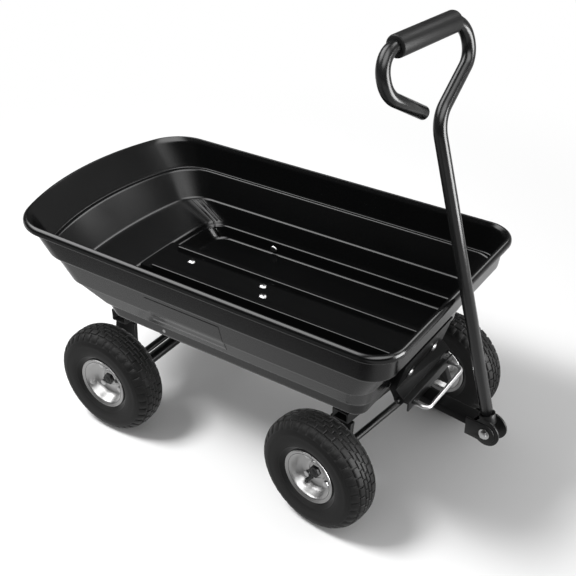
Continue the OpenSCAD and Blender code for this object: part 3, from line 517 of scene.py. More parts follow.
# Rows from the lip down, as shares of the sizes above. The last is the outer form's own share
# of the side flare, or 0 where the outer form has no such row.
Row = namedtuple("Row", "depth side front rear front_corner rear_corner bow outer_side")
FORM_ROWS = [Row(*shares) for shares in (
    (0.962, 0.190, 0.165, 0.068, 0.84, 0.95, 1.00, 0),
    (0.690, 0.260, 0.240, 0.235, 0.76, 0.88, 1.00, 0.260),
    (0.674, 0.282, 0.262, 0.243, 0.74, 0.86, 1.00, 0.282),
    (0.668, 0.362, 0.330, 0.275, 0.72, 0.86, 1.00, 0.362),
    (0.378, 0.645, 0.715, 0.506, 0.57, 0.64, 0.60, 0.548),
    (0.366, 0.692, 0.745, 0.526, 0.56, 0.62, 0.60, 0.590),
    (0.190, 0.830, 0.850, 0.876, 0.50, 0.42, 0.25, 0.760),
    (0.150, 0.878, 0.872, 0.900, 0.46, 0.40, 0.25, 0.860),
    (0.140, 0.918, 0.900, 0.912, 0.45, 0.38, 0.25, 0.900),
    (0.020, 0.948, 0.960, 0.980, 0.36, 0.32, 0.25, 0.948),
    (0.000, 1.000, 1.000, 1.000, 0.30, 0.28, 0.25, 1.000),
)]
LOWER_LEDGE, SLOPE_FOOT, GROOVE_TOP, GROOVE_FOOT = 5, 6, 8, 9


def arc(centre, radius, first, last, steps):
    """Points of an arc between two angles."""
    turns = [first + (last - first) * k / steps for k in range(steps + 1)]
    return [(centre[0] + radius * math.cos(a), centre[1] + radius * math.sin(a)) for a in turns]


def between(a, b, steps):
    """The points that part a line into equal steps, without its ends."""
    shares = [k / steps for k in range(1, steps)]
    return [(a[0] + (b[0] - a[0]) * s, a[1] + (b[1] - a[1]) * s) for s in shares]


def half_widths(side):
    """Half the tub's width at the front and at the rear, with its walls drawn in."""
    return TRAY_W / 2 + TRAY_TAPER / 4 - side, TRAY_W / 2 - TRAY_TAPER / 2 - side


def tub_outline(z, side, front_x, rear_x, front_r, rear_r, bow_r):
    """One closed outline of the tub at a height."""
    half_front, half_rear = half_widths(side)
    bow = math.asin((half_rear - rear_r) / (bow_r - rear_r))
    bow_x = rear_x + bow_r
    corner_x = bow_x - (bow_r - rear_r) * math.cos(bow)
    front_at, rear_at = (front_x - front_r, half_front - front_r), (corner_x, half_rear - rear_r)
    front = arc(front_at, front_r, 0, math.pi / 2, CORNER_STEPS)
    rear = arc(rear_at, rear_r, math.pi / 2, math.pi - bow, CORNER_STEPS)
    half = front + between(front[-1], rear[0], SIDE_STEPS) + rear
    back = arc((bow_x, 0), bow_r, math.pi - bow, math.pi + bow, REAR_STEPS)[1:-1]
    mirrored = [(x, -y) for x, y in reversed(half)]
    nose = between(mirrored[-1], half[0], NOSE_STEPS)
    return [(x, y, z) for x, y in half + back + mirrored + nose]


def form_numbers(row, out):
    """A row's outline in numbers: height, side, front, rear, both corners and the bow."""
    return Vector((
        FLOOR_Z + row.depth * TUB_DEPTH - out,
        (row.outer_side if out else row.side) * SIDE_FLARE - out,
        LIP_FRONT - row.front * FRONT_FLARE + out,
        LIP_REAR + row.rear * REAR_FLARE - out,
        row.front_corner * FRONT_CORNER + out,
        row.rear_corner * REAR_CORNER + out,
        row.bow / REAR_BOW * BOW_UNIT,
    ))


def outer_rows():
    """The outer form's rows from the floor up."""
    return [form_numbers(row, WALL) for row in reversed(FORM_ROWS) if row.outer_side]


def lip_numbers(z, by):
    """The lip's outline at a height, drawn in by a margin."""
    return Vector((
        z, by, LIP_FRONT - by, LIP_REAR + by,
        FRONT_CORNER - by, REAR_CORNER - by, BOW_UNIT / (REAR_BOW - by),
    ))


def inset(numbers, by):
    """The same outline drawn in by a margin at its own height."""
    return numbers + Vector((0, by, -by, by, -by, -by, 0))


def outline_of(numbers):
    return tub_outline(*numbers[:6], BOW_UNIT / numbers[6])


def tub_shell():
    """A closed skin: up the outer form, over the rolled lip and down the inner form."""
    lip_z = FLOOR_Z + TUB_DEPTH
    skirt = lip_z - LIP_H
    lip = [
        lip_numbers(skirt, LIP_W - WALL / 2), lip_numbers(skirt, 1.5 * MM),
        lip_numbers(skirt + 2 * MM, 0),
    ]
    for k in range(ROLL_STEPS + 1):
        a = math.pi / 2 * k / ROLL_STEPS
        drop, by = LIP_ROLL * (1 - math.sin(a)), LIP_ROLL * (1 - math.cos(a))
        lip.append(lip_numbers(lip_z - drop, by))
    lip.append(lip_numbers(lip_z, LIP_W - 5 * MM))
    outer = outer_rows()
    inner = [form_numbers(row, 0) for row in FORM_ROWS]
    line = [inset(outer[0], END_MARGIN), *outer, *lip, *inner, inset(inner[-1], END_MARGIN)]
    line = rounded_line(line, FORM_EDGE, hold=FORM_HOLD)
    return solid_piece("tub_moulding", *rings_mesh([outline_of(n) for n in line]), TUB, 50)


def front_wall(z):
    """The middle of the front wall's thickness at a height."""
    rows = [
        (FLOOR_Z + row.depth * TUB_DEPTH, LIP_FRONT - row.front * FRONT_FLARE)
        for row in reversed(FORM_ROWS)
    ]
    z = max(z, rows[0][0])
    for (z0, x0), (z1, x1) in zip(rows, rows[1:]):
        if z <= z1:
            return x0 + (x1 - x0) * (z - z0) / (z1 - z0) + WALL / 2
    return rows[-1][1]


def prism(points, from_x, to_x, name):
    """An outline in Y and Z drawn along X, between places that may change with height."""
    count = len(points)
    mirrored = all(abs(p[0] + q[0]) < 1e-9 for p, q in zip(points, reversed(points)))
    caps = [tuple(range(count))]
    if mirrored:
        caps = [(k, k + 1, count - 2 - k, count - 1 - k) for k in range(count // 2 - 1)]
    verts = [(from_x(z), y, z) for y, z in points] + [(to_x(z), y, z) for y, z in points]
    faces = [(k, (k + 1) % count, count + (k + 1) % count, count + k) for k in range(count)]
    faces += caps + [tuple(count + k for k in reversed(cap)) for cap in caps]
    return solid_piece(name, verts, faces, TUB)


def eased_outline(points, radius):
    """A closed outline with rounded corners."""
    loop = [Vector((y, z, 0)) for y, z in points]
    out = []
    for before, here, after in zip(loop[-1:] + loop, loop, loop[1:] + loop[:1]):
        curve, _ = eased_corner(before, here, after, radius, 3)
        out += [(p.x, p.y) for p in curve]
    return out


def joined(shell, other, operation):
    """Adds a tool to a shell or takes it away, and removes the tool."""
    cut = shell.modifiers.new(operation, "BOOLEAN")
    cut.operation = operation
    cut.solver = "EXACT"
    cut.object = other
    settle(shell, 50)
    bpy.data.objects.remove(other)


def tub():
    """The shell with the tunnel, its two ridges and the hollow under it."""
    shell = tub_shell()
    slope_x = LIP_REAR + FORM_ROWS[SLOPE_FOOT].rear * REAR_FLARE
    rear_x = LIP_REAR + REAR_FLARE
    half, top_half = TUNNEL_W / 2, TUNNEL_W / 2 - RIDGE_LEAN
    base, foot_z = FLOOR_Z - WALL / 2, STRIP_Z - RIDGE_H
    ledges = [FLOOR_Z + FORM_ROWS[row].depth * TUB_DEPTH for row in (GROOVE_FOOT, GROOVE_TOP)]
    heights = [base, *ledges, STRIP_Z]
    flank = [(half - RIDGE_LEAN * (z - base) / (STRIP_Z - base), z) for z in heights]

    def tunnel_rear(z):
        """The rear end of the tunnel's flanks, which leans with the slope behind it."""
        share = min((z - base) / (foot_z - base), 1.0)
        return rear_x - WALL / 2 + share * (slope_x - rear_x)

    mirrored = [(-y, z) for y, z in reversed(flank)]
    strip = prism(flank + mirrored, tunnel_rear, front_wall, "strip_cut")
    joined(shell, strip, "UNION")
    for side in (1, -1):
        outline = eased_outline([
            (side * top_half, STRIP_Z - WALL), (side * top_half, STRIP_Z + RIDGE_H),
            (side * (top_half - RIDGE_W + RIDGE_SLOPE), STRIP_Z + RIDGE_H),
            (side * (top_half - RIDGE_W), STRIP_Z - WALL),
        ], RIDGE_EDGE)
        ridge = prism(outline, lambda z: rear_x + WALL, front_wall, "ridge_cut")
        joined(shell, ridge, "UNION")
    foot, top = (half - WALL, FLOOR_Z - 2 * WALL), (top_half - WALL, STRIP_Z - WALL)
    hollow = prism(
        [foot, top, (-top[0], top[1]), (-foot[0], foot[1])],
        lambda z: slope_x - 3 * WALL, lambda z: LIP_FRONT - FRONT_FLARE - WALL, "hollow_cut",
    )
    joined(shell, hollow, "DIFFERENCE")
    wear(shell, "tub")


def right_wall(x, z):
    """The outer face of the tub's right wall at a place along it."""
    rows = outer_rows()
    for low, high in zip(rows, rows[1:]):
        if z <= high[0]:
            break
    here = low + (high - low) * ((z - low[0]) / (high[0] - low[0]))
    _, side, front_x, rear_x, front_r, rear_r, _ = here
    half_front, half_rear = half_widths(side)
    front, rear = front_x - front_r, rear_x + REAR_REACH * rear_r
    return -(half_rear + (half_front - half_rear) * (x - rear) / (front - rear))


def label_panel():
    """A bare raised panel on the right wall, with an eased border and a closed back."""
    x0, x1, z0, z1 = KING.x - 452 * MM, KING.x - 256 * MM, 338 * MM, 409 * MM
    rise, sink, ease = 0.9 * MM, 0.4 * MM, 0.5 * MM
    columns, rows = 16, 12
    verts = []
    for j in range(rows + 1):
        for i in range(columns + 1):
            inside = 0 < i < columns and 0 < j < rows
            s = min(max((i - 1) / (columns - 2), 0), 1)
            t = min(max((j - 1) / (rows - 2), 0), 1)
            margin = ease if inside else 0.0
            x = x0 + margin + (x1 - x0 - 2 * margin) * s
            z = z0 + margin + (z1 - z0 - 2 * margin) * t
            verts.append((x, right_wall(x, z) - (rise if inside else -sink), z))
    back = [j * (columns + 1) + i for i, j in grid_border(columns, rows)]
    faces = grid_faces(0, columns, rows) + [tuple(reversed(back))]
    panel = mesh_piece("label_panel", verts, faces, TUB, 50)
    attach(panel, "tray")


def corner_ribs():
    """Thin upright beads in the two rear corners, from the lower ledge down."""
    inner = [form_numbers(row, 0) for row in FORM_ROWS]
    rear_corner = CORNER_STEPS + SIDE_STEPS
    for side in (1, -1):
        parts = []
        for step, last in ((8, GROOVE_FOOT), (6, SLOPE_FOOT), (4, SLOPE_FOOT)):
            path = []
            for numbers in rounded_line(inner[LOWER_LEDGE:last + 1], 3 * MM, 3):
                x, y, z = outline_of(numbers)[rear_corner + step]
                path.append(Vector((x, side * y, z)))
            parts.append(tube(path, 2.3 * MM, 12, "corner_rib", TUB))
        ribs = merged("corner_ribs_left" if side > 0 else "corner_ribs_right", parts, TUB, 50)
        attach(ribs, "tray")


tub()
label_panel()
corner_ribs()


# Wheels: drawn about Z with the outer face up, then set on their axles

TYRE_D, TYRE_W, RIM_D = 260 * MM, 84 * MM, 118 * MM
TYRE_MID, TYRE_HALF_H, TYRE_HALF_W = (RIM_D + TYRE_D) / 4, (TYRE_D - RIM_D) / 4, TYRE_W / 2
SECTION_POWER = 2.7  # a rounded box: 2 would be an ellipse
SECTION_START, SECTION_SWEEP, SECTION_STEPS = -58, 296, 72
TREAD_COUNT, TREAD_H = 36, 3.6 * MM
SHOULDER_R, SHOULDER_RUN = 112 * MM, 6 * MM  # where the carcass makes room for the tread
BLOCK_EASE, BLOCK_EDGE, BLOCK_SINK = 0.7 * MM, 0.6 * MM, 0.4 * MM
WALL_RINGS, WALL_RING_W = ((73.5, 0.9), (77.5, 0.5), (103.0, 0.7)), 1.1 * MM  # radius and height
RIM_BOLTS, BOLT_R, WEB_Z, VALVE_R = 4, 35.4 * MM, 2.5 * MM, 33 * MM
WHEEL_TURNS = {"front_left": 40, "front_right": -118, "rear_left": 160, "rear_right": 20}

# Blocks of one pitch on one half: from and to as shares of the pitch, from and to in millimetres
# across, and the share of the tread's height
TREAD_BLOCKS = [
    (0.06, 0.84, 25.4, 38.6, 0.9), (0.54, 1.36, 10.8, 22.8, 1.0), (0.04, 0.86, 1.3, 8.2, 1.0),
]


def crown(across):
    """The tyre's outer radius at a place across its width."""
    share = max(0.0, 1 - (abs(across) / TYRE_HALF_W) ** SECTION_POWER)
    return TYRE_MID + TYRE_HALF_H * share ** (1 / SECTION_POWER)


def tyre_carcass():
    """The tyre under its tread, with rings on its walls and a seat on the rim."""
    profile = []
    for k in range(SECTION_STEPS + 1):
        a = math.radians(SECTION_START + SECTION_SWEEP * k / SECTION_STEPS)
        s, c = math.sin(a), math.cos(a)
        radius = TYRE_MID + TYRE_HALF_H * math.copysign(abs(s) ** (2 / SECTION_POWER), s)
        across = TYRE_HALF_W * math.copysign(abs(c) ** (2 / SECTION_POWER), c)
        radius -= TREAD_H * min(1.0, max(0.0, (radius - SHOULDER_R) / SHOULDER_RUN))
        for at, rise in WALL_RINGS:
            ring = math.exp(-((radius - at * MM) / WALL_RING_W) ** 2) * rise * MM
            across += math.copysign(ring, across)
        profile.append((radius, across))
    seat_r, seat_half = RIM_D / 2 - 5 * MM, 33 * MM
    profile += [(seat_r, -seat_half), (seat_r, seat_half)]
    return lathe(profile, 112, "carcass", TYRE, 40)


def tread_patch(verts, faces, u0, u1, w0, w1, lift):
    """One closed block of tread, bent over the crown, with eased upper edges."""
    first = len(verts)
    columns, rows = 2, 4
    ease_w = math.copysign(BLOCK_EASE, w1 - w0)

    def put(u, w, height):
        radius = crown(w) - TREAD_H - BLOCK_EDGE + height
        a = u / (TYRE_D / 2)
        verts.append((radius * math.cos(a), radius * math.sin(a), w))

    for j in range(rows + 1):
        for i in range(columns + 1):
            u = u0 + BLOCK_EASE + (u1 - u0 - 2 * BLOCK_EASE) * i / columns
            w = w0 + ease_w + (w1 - w0 - 2 * ease_w) * j / rows
            put(u, w, lift + BLOCK_EDGE)
    faces += grid_faces(first, columns, rows)
    border = grid_border(columns, rows)
    rim = [first + j * (columns + 1) + i for i, j in border]
    for height in (lift, -BLOCK_SINK):
        lower = list(range(len(verts), len(verts) + len(border)))
        for i, j in border:
            put(u0 + (u1 - u0) * i / columns, w0 + (w1 - w0) * j / rows, height)
        for k in range(len(border)):
            n = (k + 1) % len(border)
            faces.append((rim[k], lower[k], lower[n], rim[n]))
        rim = lower
    faces.append(tuple(rim))


def tread_unit():
    """The blocks of one pitch of the tread."""
    verts, faces = [], []
    pitch = math.pi * TYRE_D / TREAD_COUNT
    for side in (1, -1):
        lag = 0.0 if side > 0 else pitch / 2
        for a, b, w0, w1, lift in TREAD_BLOCKS:
            u0, u1 = lag + a * pitch, lag + b * pitch
            tread_patch(verts, faces, u0, u1, side * w0 * MM, side * w1 * MM, lift * TREAD_H)
    return solid_piece("tread_unit", verts, faces, TYRE, 40)


def node_tree(name, **inputs):
    """A Geometry Nodes tree with a mesh in and out and named sizes, and its entry's sockets."""
    tree = bpy.data.node_groups.new(name, "GeometryNodeTree")
    tree.interface.new_socket("Mesh", in_out="INPUT", socket_type="NodeSocketGeometry")
    tree.interface.new_socket("Mesh", in_out="OUTPUT", socket_type="NodeSocketGeometry")
    for label, kind in inputs.items():
        tree.interface.new_socket(label, in_out="INPUT", socket_type="NodeSocket" + kind)
    return tree, grow(tree, "NodeGroupInput").outputs


def grow(tree, kind, settings=None, **links):
    """Adds a node: its settings, then links or values by socket name or as i0, i1, i2."""
    made = tree.nodes.new(kind)
    for key, value in (settings or {}).items():
        setattr(made, key, value)
    for key, value in links.items():
        numbered = key[0] == "i" and key[1:].isdigit()
        socket = made.inputs[int(key[1:]) if numbered else key.replace("_", " ")]
        if isinstance(value, bpy.types.NodeSocket):
            tree.links.new(value, socket)
        else:
            socket.default_value = value
    return made


def grown(obj, tree, values, sharp):
    """Runs a tree on an object and keeps the plain mesh."""
    made = obj.modifiers.new("grow", "NODES")
    made.node_group = tree
    for item in tree.interface.items_tree:
        if item.in_out == "INPUT" and item.name in values:
            made[item.identifier] = values[item.name]
    return settle(obj, sharp)


def unit_copies(tree, entry, points, turns):
    """Sets plain copies of a tree's unit on points."""
    unit = grow(
        tree, "GeometryNodeObjectInfo", {"transform_space": "ORIGINAL"}, Object=entry["Unit"]
    )
    copies = grow(
        tree, "GeometryNodeInstanceOnPoints",
        Points=points, Instance=unit.outputs["Geometry"], Rotation=turns,
    )
    return grow(tree, "GeometryNodeRealizeInstances", Geometry=copies.outputs[0]).outputs[0]


def dressed(tree, entry, result):
    """Ends a tree: gives its mesh a material and sends it out."""
    made = grow(tree, "GeometryNodeSetMaterial", Geometry=result, Material=entry["Finish"])
    tree.links.new(made.outputs[0], grow(tree, "NodeGroupOutput").inputs[0])
    return tree


def ring_tree(name, keep_base):
    """Sets copies of a unit round the Z axis; the base mesh stays when asked."""
    tree, entry = node_tree(name, Unit="Object", Count="Int", First="Float", Finish="Material")
    index = grow(tree, "GeometryNodeInputIndex")
    points = grow(tree, "GeometryNodePoints", Count=entry["Count"])
    pitch = grow(
        tree, "ShaderNodeMath", {"operation": "DIVIDE"}, i0=2 * math.pi, i1=entry["Count"]
    )
    turn = grow(
        tree, "ShaderNodeMath", {"operation": "MULTIPLY_ADD"},
        i0=index.outputs[0], i1=pitch.outputs[0], i2=entry["First"],
    )
    spin = grow(tree, "ShaderNodeCombineXYZ", Z=turn.outputs[0])
    result = unit_copies(tree, entry, points.outputs[0], spin.outputs[0])
    if keep_base:
        both = grow(tree, "GeometryNodeJoinGeometry")
        tree.links.new(result, both.inputs[0])
        tree.links.new(entry["Mesh"], both.inputs[0])
        result = both.outputs[0]
    return dressed(tree, entry, result)


TREAD_TREE = ring_tree("tread_round_a_tyre", True)
BOLT_TREE = ring_tree("bolts_round_a_rim", False)


def rim_lathe():
    """The outer rim: a dished web, a flaring barrel and a rolled edge, as one sheet."""
    face = [
        (17.2, 9.0), (20.6, 9.0), (22.4, 5.6), (26.0, 4.2), (31.0, 4.2), (40.0, 7.0), (45.6, 13.0),
        (49.4, 23.0), (51.6, 29.4), (54.0, 32.4), (57.4, 33.6), (60.0, 35.2), (61.6, 34.4),
        (61.6, 32.8),
    ]
    back = [(59.8, 32.0), (57.0, 31.9), (54.0, 31.8), (53.9, 2.5), (51.5, 0.0), (17.2, 0.0)]
    line = rounded_line([Vector((r, z, 0)) for r, z in in_mm(face)], 3 * MM)
    return lathe([(p.x, p.y) for p in line] + in_mm(back), 96, "rim_pattern", RIM, 35)


def bolt_head(name, across, height):
    """A hexagon head with an eased crown on a washer, standing on Z = 0."""
    corner = across / 2 / math.cos(math.pi / 6)
    washer = [(1.32, 0.0), (1.32, 0.20), (1.26, 0.26), (1.0, 0.26)]
    head = [(1.0, 0.24), (1.0, 0.9), (0.84, 1.0)]
    verts, faces = [], []
    for sides, outline in ((24, washer), (6, head)):
        rings = [circle(corner * scale, sides, rise * height) for scale, rise in outline]
        more_verts, more_faces = rings_mesh(rings)
        faces += [tuple(len(verts) + k for k in face) for face in more_faces]
        verts += more_verts
    return mesh_piece(name, verts, faces, ZINC, 30)


def wheel_place(wheel):
    """Where a wheel's own frame lies in the row frame."""
    at = Matrix.Translation(Vector(JOINTS[wheel + "_wheel_spin"]["pos_m"]))
    turn = Matrix.Rotation(-STEER if "front" in wheel else 0.0, 4, "Z")
    side = 1 if "left" in wheel else -1
    return at @ turn @ Matrix.Rotation(-math.pi / 2 * side, 4, "X")


def valve_stem():
    """A rubber tyre valve with its cap, through the rim's web."""
    profile = [
        (AXIS, 2.4), (6.2, 2.4), (6.4, 3.6), (5.2, 5.4), (4.2, 7.2), (3.9, 14.0), (4.6, 14.4),
        (4.6, 21.4), (4.0, 22.4), (AXIS, 22.6),
    ]
    return lathe(in_mm(profile), 24, "valve", PLUG, 30)


def wheels():
    unit = tread_unit()
    tyre = grown(
        tyre_carcass(), TREAD_TREE,
        {"Unit": unit, "Count": TREAD_COUNT, "First": 0.0, "Finish": TYRE}, 40,
    )
    rim = rim_lathe()
    head = bolt_head("rim_bolt_pattern", 13 * MM, 6 * MM)
    head.data.transform(Matrix.Translation((BOLT_R, 0, WEB_Z)))
    bolts = grown(
        mesh_piece("bolt_pattern", [(0, 0, 0)], [], ZINC), BOLT_TREE,
        {"Unit": head, "Count": RIM_BOLTS, "First": math.pi / 4, "Finish": ZINC}, 30,
    )
    valve = valve_stem()
    for wheel, turn in WHEEL_TURNS.items():
        place = wheel_place(wheel)
        spin = Matrix.Rotation(math.radians(turn), 4, "Z")
        for pattern, node, moved in (
            (tyre, "tyre", place @ spin), (rim, "rim_outer", place),
            (rim, "rim_inner", place @ Matrix.Rotation(math.pi, 4, "X")), (bolts, "bolts", place),
        ):
            copy = link(bpy.data.objects.new(f"{wheel}_{node}_look", pattern.data.copy()))
            copy.data.transform(moved)
            wear(copy, f"{wheel}_{node}")
        stem = link(bpy.data.objects.new(f"{wheel}_valve", valve.data.copy()))
        stem.data.transform(place @ spin @ Matrix.Translation((VALVE_R, 0, 0)))
        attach(stem, "wheel_" + wheel)
        softened(f"{wheel}_hub", 0.8 * MM)
    for pattern in (unit, tyre, rim, head, bolts, valve):
        bpy.data.objects.remove(pattern)


wheels()


# Handle: a bent tube with a hand grip, in the plane of the leaning shaft

HANDLE_LEAN = math.radians(16.4)
HANDLE_D, HANDLE_L, LOOP_HALF = 26 * MM, 797 * MM, 130 * MM
BEND_STEPS = 12
AT_CLEVIS = Matrix.Translation(CLEVIS) @ Matrix.Rotation(-STEER, 4, "Z")
AT_HANDLE = AT_CLEVIS @ Matrix.Rotation(-HANDLE_LEAN, 4, "Y")


def bent_path(points, radii):
    """A line through points with a true arc at each inner corner."""
    out = [points[0]]
    for before, here, after, radius in zip(points, points[1:], points[2:], radii):
        a, b = (here - before).normalized(), (after - here).normalized()
        angle = a.angle(b)
        normal = (b - a * b.dot(a)).normalized()
        centre = here - a * radius * math.tan(angle / 2) + normal * radius
        for k in range(BEND_STEPS + 1):
            t = angle * k / BEND_STEPS
            out.append(centre - normal * radius * math.cos(t) + a * radius * math.sin(t))
    return out + [points[-1]]


def handle():
    side_low, fork, tip = 72 * MM, 152 * MM, 38 * MM
    drop = (fork - side_low) * (1 - tip / LOOP_HALF)
    top, low = HANDLE_L, HANDLE_L - side_low
    corners = [
        (0, 16 * MM), (0, top - fork), (LOOP_HALF, low), (LOOP_HALF, top),
        (-LOOP_HALF, top), (-LOOP_HALF, low), (-tip, low - drop),
    ]
    radii = [r * MM for r in (60, 46, 44, 44, 44)]
    path = [AT_HANDLE @ p for p in bent_path([Vector((0, y, z)) for y, z in corners], radii)]
    wear(tube(path, HANDLE_D / 2, 40, "handle_bent_tube", HANDLE_COAT), "handle_tube")
    near, far = -84.0, 96.0
    end = [(13.1, 0.0), (18.5, 0.0), (20.4, 1.6), (21.0, 4.0)]
    profile = [(r, near + z) for r, z in end] + [(r, far - z) for r, z in reversed(end)]
    grip = lathe(in_mm(profile), 64, "hand_grip_sleeve", FOAM, 30)
    at_top = AT_HANDLE @ Matrix.Translation((0, 0, HANDLE_L))
    grip.data.transform(at_top @ Matrix.Rotation(-math.pi / 2, 4, "X"))
    wear(grip, "hand_grip")


handle()


# Latch: the bail's bent wire, the return spring and the bolts

HOUSING_LEAN = math.radians(16.6032)
HOUSING_FACING = Vector((math.cos(HOUSING_LEAN), 0, -math.sin(HOUSING_LEAN)))
HOUSING_UP = Vector((math.sin(HOUSING_LEAN), 0, math.cos(HOUSING_LEAN)))


def bail():
    half, root, reach = 80.85 * MM, 0.3 * MM, 34 * MM
    bend, wire, dip = 15 * MM, 4.75 * MM, math.atan2(5, 34)
    ahead, below = 22 * MM, 10.75 * MM
    front = Vector((LATCH.x + ahead, 0, LATCH.z - below))
    corners = [(half, root), (half, reach), (-half, reach), (-half, root)]
    points = [front + Vector((x * math.cos(dip), y, -x * math.sin(dip))) for y, x in corners]
    path = bent_path(points, [bend, bend])
    wear(tube(path, wire, 24, "bail_wire", ZINC), "bail")


bail()


def spring_tree():
    """A wire coil along Z: a spiral line given a round section."""
    tree, entry = node_tree(
        "return_spring_coil",
        Turns="Float", Radius="Float", Length="Float", Wire="Float", Finish="Material",
    )
    line = grow(
        tree, "GeometryNodeCurveSpiral", Resolution=28, Rotations=entry["Turns"],
        Start_Radius=entry["Radius"], End_Radius=entry["Radius"], Height=entry["Length"],
    )
    section = grow(tree, "GeometryNodeCurvePrimitiveCircle", Resolution=10, Radius=entry["Wire"])
    coil = grow(
        tree, "GeometryNodeCurveToMesh",
        Curve=line.outputs[0], Profile_Curve=section.outputs[0], Fill_Caps=True,
    )
    real = grow(tree, "GeometryNodeRealizeInstances", Geometry=coil.outputs[0])
    return dressed(tree, entry, real.outputs[0])


def return_spring():
    low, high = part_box("latch_spring")
    wire = 0.9 * MM
    coil = grown(
        mesh_piece("latch_return_spring", [(0, 0, 0)], [], ZINC), spring_tree(), {
            "Turns": 6.0, "Radius": 5.3 * MM, "Length": high.y - low.y - 2 * wire, "Wire": wire,
            "Finish": ZINC,
        }, 60,
    )
    at = Matrix.Translation((LATCH.x, high.y - wire, LATCH.z))
    coil.data.transform(at @ Matrix.Rotation(math.pi / 2, 4, "X"))
    outward(coil.data)
    shade(coil.data, 60)
    wear(coil, "latch_spring")


return_spring()


def places_tree():
    """Sets a unit on each point of a mesh, along the way that the point names."""
    tree, entry = node_tree("bolts_on_places", Unit="Object", Finish="Material")
    way = grow(tree, "GeometryNodeInputNamedAttribute", {"data_type": "FLOAT_VECTOR"}, Name="way")
    turn = grow(tree, "FunctionNodeAlignRotationToVector", {"axis": "Z"}, Vector=way.outputs[0])
    return dressed(tree, entry, unit_copies(tree, entry, entry["Mesh"], turn.outputs[0]))


PLACES_TREE = places_tree()


def carriage_bolt(shank):
    """A low domed head with a thin flange, and a shank of so many millimetres under Z = 0."""
    profile = [
        (AXIS, -shank), (4.0, -shank), (4.0, 0.0), (9.5, 0.0), (9.5, 0.7), (8.9, 1.9), (7.2, 3.5),
        (4.6, 4.6), (2.0, 5.0), (AXIS, 5.05),
    ]
    return lathe(in_mm(profile), 32, "carriage_bolt_pattern", ZINC, 40)


def bolts_at(name, node, spots, shank):
    """Domed bolts at places, each given as a point and the way that its head faces."""
    piece = mesh_piece(name, [p for p, _ in spots], [], ZINC)
    way = piece.data.attributes.new("way", "FLOAT_VECTOR", "POINT")
    for k, (_, facing) in enumerate(spots):
        way.data[k].vector = facing
    unit = carriage_bolt(shank)
    grown(piece, PLACES_TREE, {"Unit": unit, "Finish": ZINC}, 40)
    bpy.data.objects.remove(unit)
    wear(piece, node)


def all_bolts():
    """Bolts on the tub's strip and grooves and on the latch housing, and the housing's pads."""
    run = KING.x - HINGE.x
    strip_half = TUNNEL_W / 2 - RIDGE_LEAN - RIDGE_W
    spots = [
        ((HINGE.x + a * run, b * strip_half, STRIP_Z), (0, 0, 1))
        for a, b in ((0.110, 0.37), (0.440, 0.50), (0.478, -0.50))
    ]
    groove_x, groove_z = HINGE.x + 0.275 * run, FLOOR_Z + 13 * MM
    groove_y = half_widths(SIDE_FLARE * FORM_ROWS[GROOVE_FOOT].side)[1]
    spots += [((groove_x, side * groove_y, groove_z), (0, -side, 0)) for side in (1, -1)]
    bolts_at("tub_carriage_bolts", "tub_bolts", spots, 8.0)
    set_back, drop, spread, height = 77.943 * MM, 13 * MM, 52.5 * MM, 302.64 * MM
    x = LIP_FRONT - set_back + drop * math.tan(HOUSING_LEAN)
    spots = [((x, side * spread, height), HOUSING_FACING) for side in (1, -1)]
    bolts_at("housing_carriage_bolts", "housing_bolts", spots, 9.0)
    pads = [bolt_pad(Vector(at)) for at, _ in spots]
    pads = merged("housing_bolt_pads", pads, POWDER, 30)
    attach(pads, "tray")


def bolt_pad(at):
    """A raised pad with a round top and a flat foot, pressed into the housing round a bolt."""
    half = 15.5
    outline = arc((0, 0), half, 0, math.pi, 20)
    outline += [(-half, -5.0), (-11.0, -9.5), (11.0, -9.5), (half, -5.0)]
    flat = [Vector((0, y, 0)) + HOUSING_UP * z for y, z in outline]
    rings = [
        [at + (HOUSING_FACING * rise + p * scale) * MM for p in flat]
        for scale, rise in ((1.0, -0.6), (1.0, 0.9), (0.95, 1.3))
    ]
    return solid_piece("bolt_pad", *rings_mesh(rings), POWDER, 30)


all_bolts()


def clevis_pin():
    """The bolt that the handle folds on: a hexagon head with a washer, and its shank."""
    head = bolt_head("clevis_head", 15.5 * MM, 7 * MM)
    head.data.transform(Matrix.Translation((0, 0, 21.3 * MM)))
    profile = [(0.1, -31.3), (6.0, -31.3), (6.0, 21.4), (0.1, 21.4)]
    shank = lathe(in_mm(profile), 32, "clevis_shank", ZINC)
    bolt = merged("clevis_hex_bolt", [head, shank], ZINC, 30)
    bolt.data.transform(AT_CLEVIS @ Matrix.Rotation(math.pi / 2, 4, "X"))
    wear(bolt, "clevis_bolt")


clevis_pin()


# Stage: a pale floor, soft light and the camera

FLOOR_HALF = 14.0
NO_IMAGE = ("tyre", "_leg_", "rim", "axle", "cross", "spine", "ears")
PHOTO_PX, FOCAL_PX, SENSOR = 576, 1003.9, 36.0
CAMERA_AT, CAMERA_TURNS = (1.0643, -1.5442, 1.5536), (33.856, 32.692, -0.173)


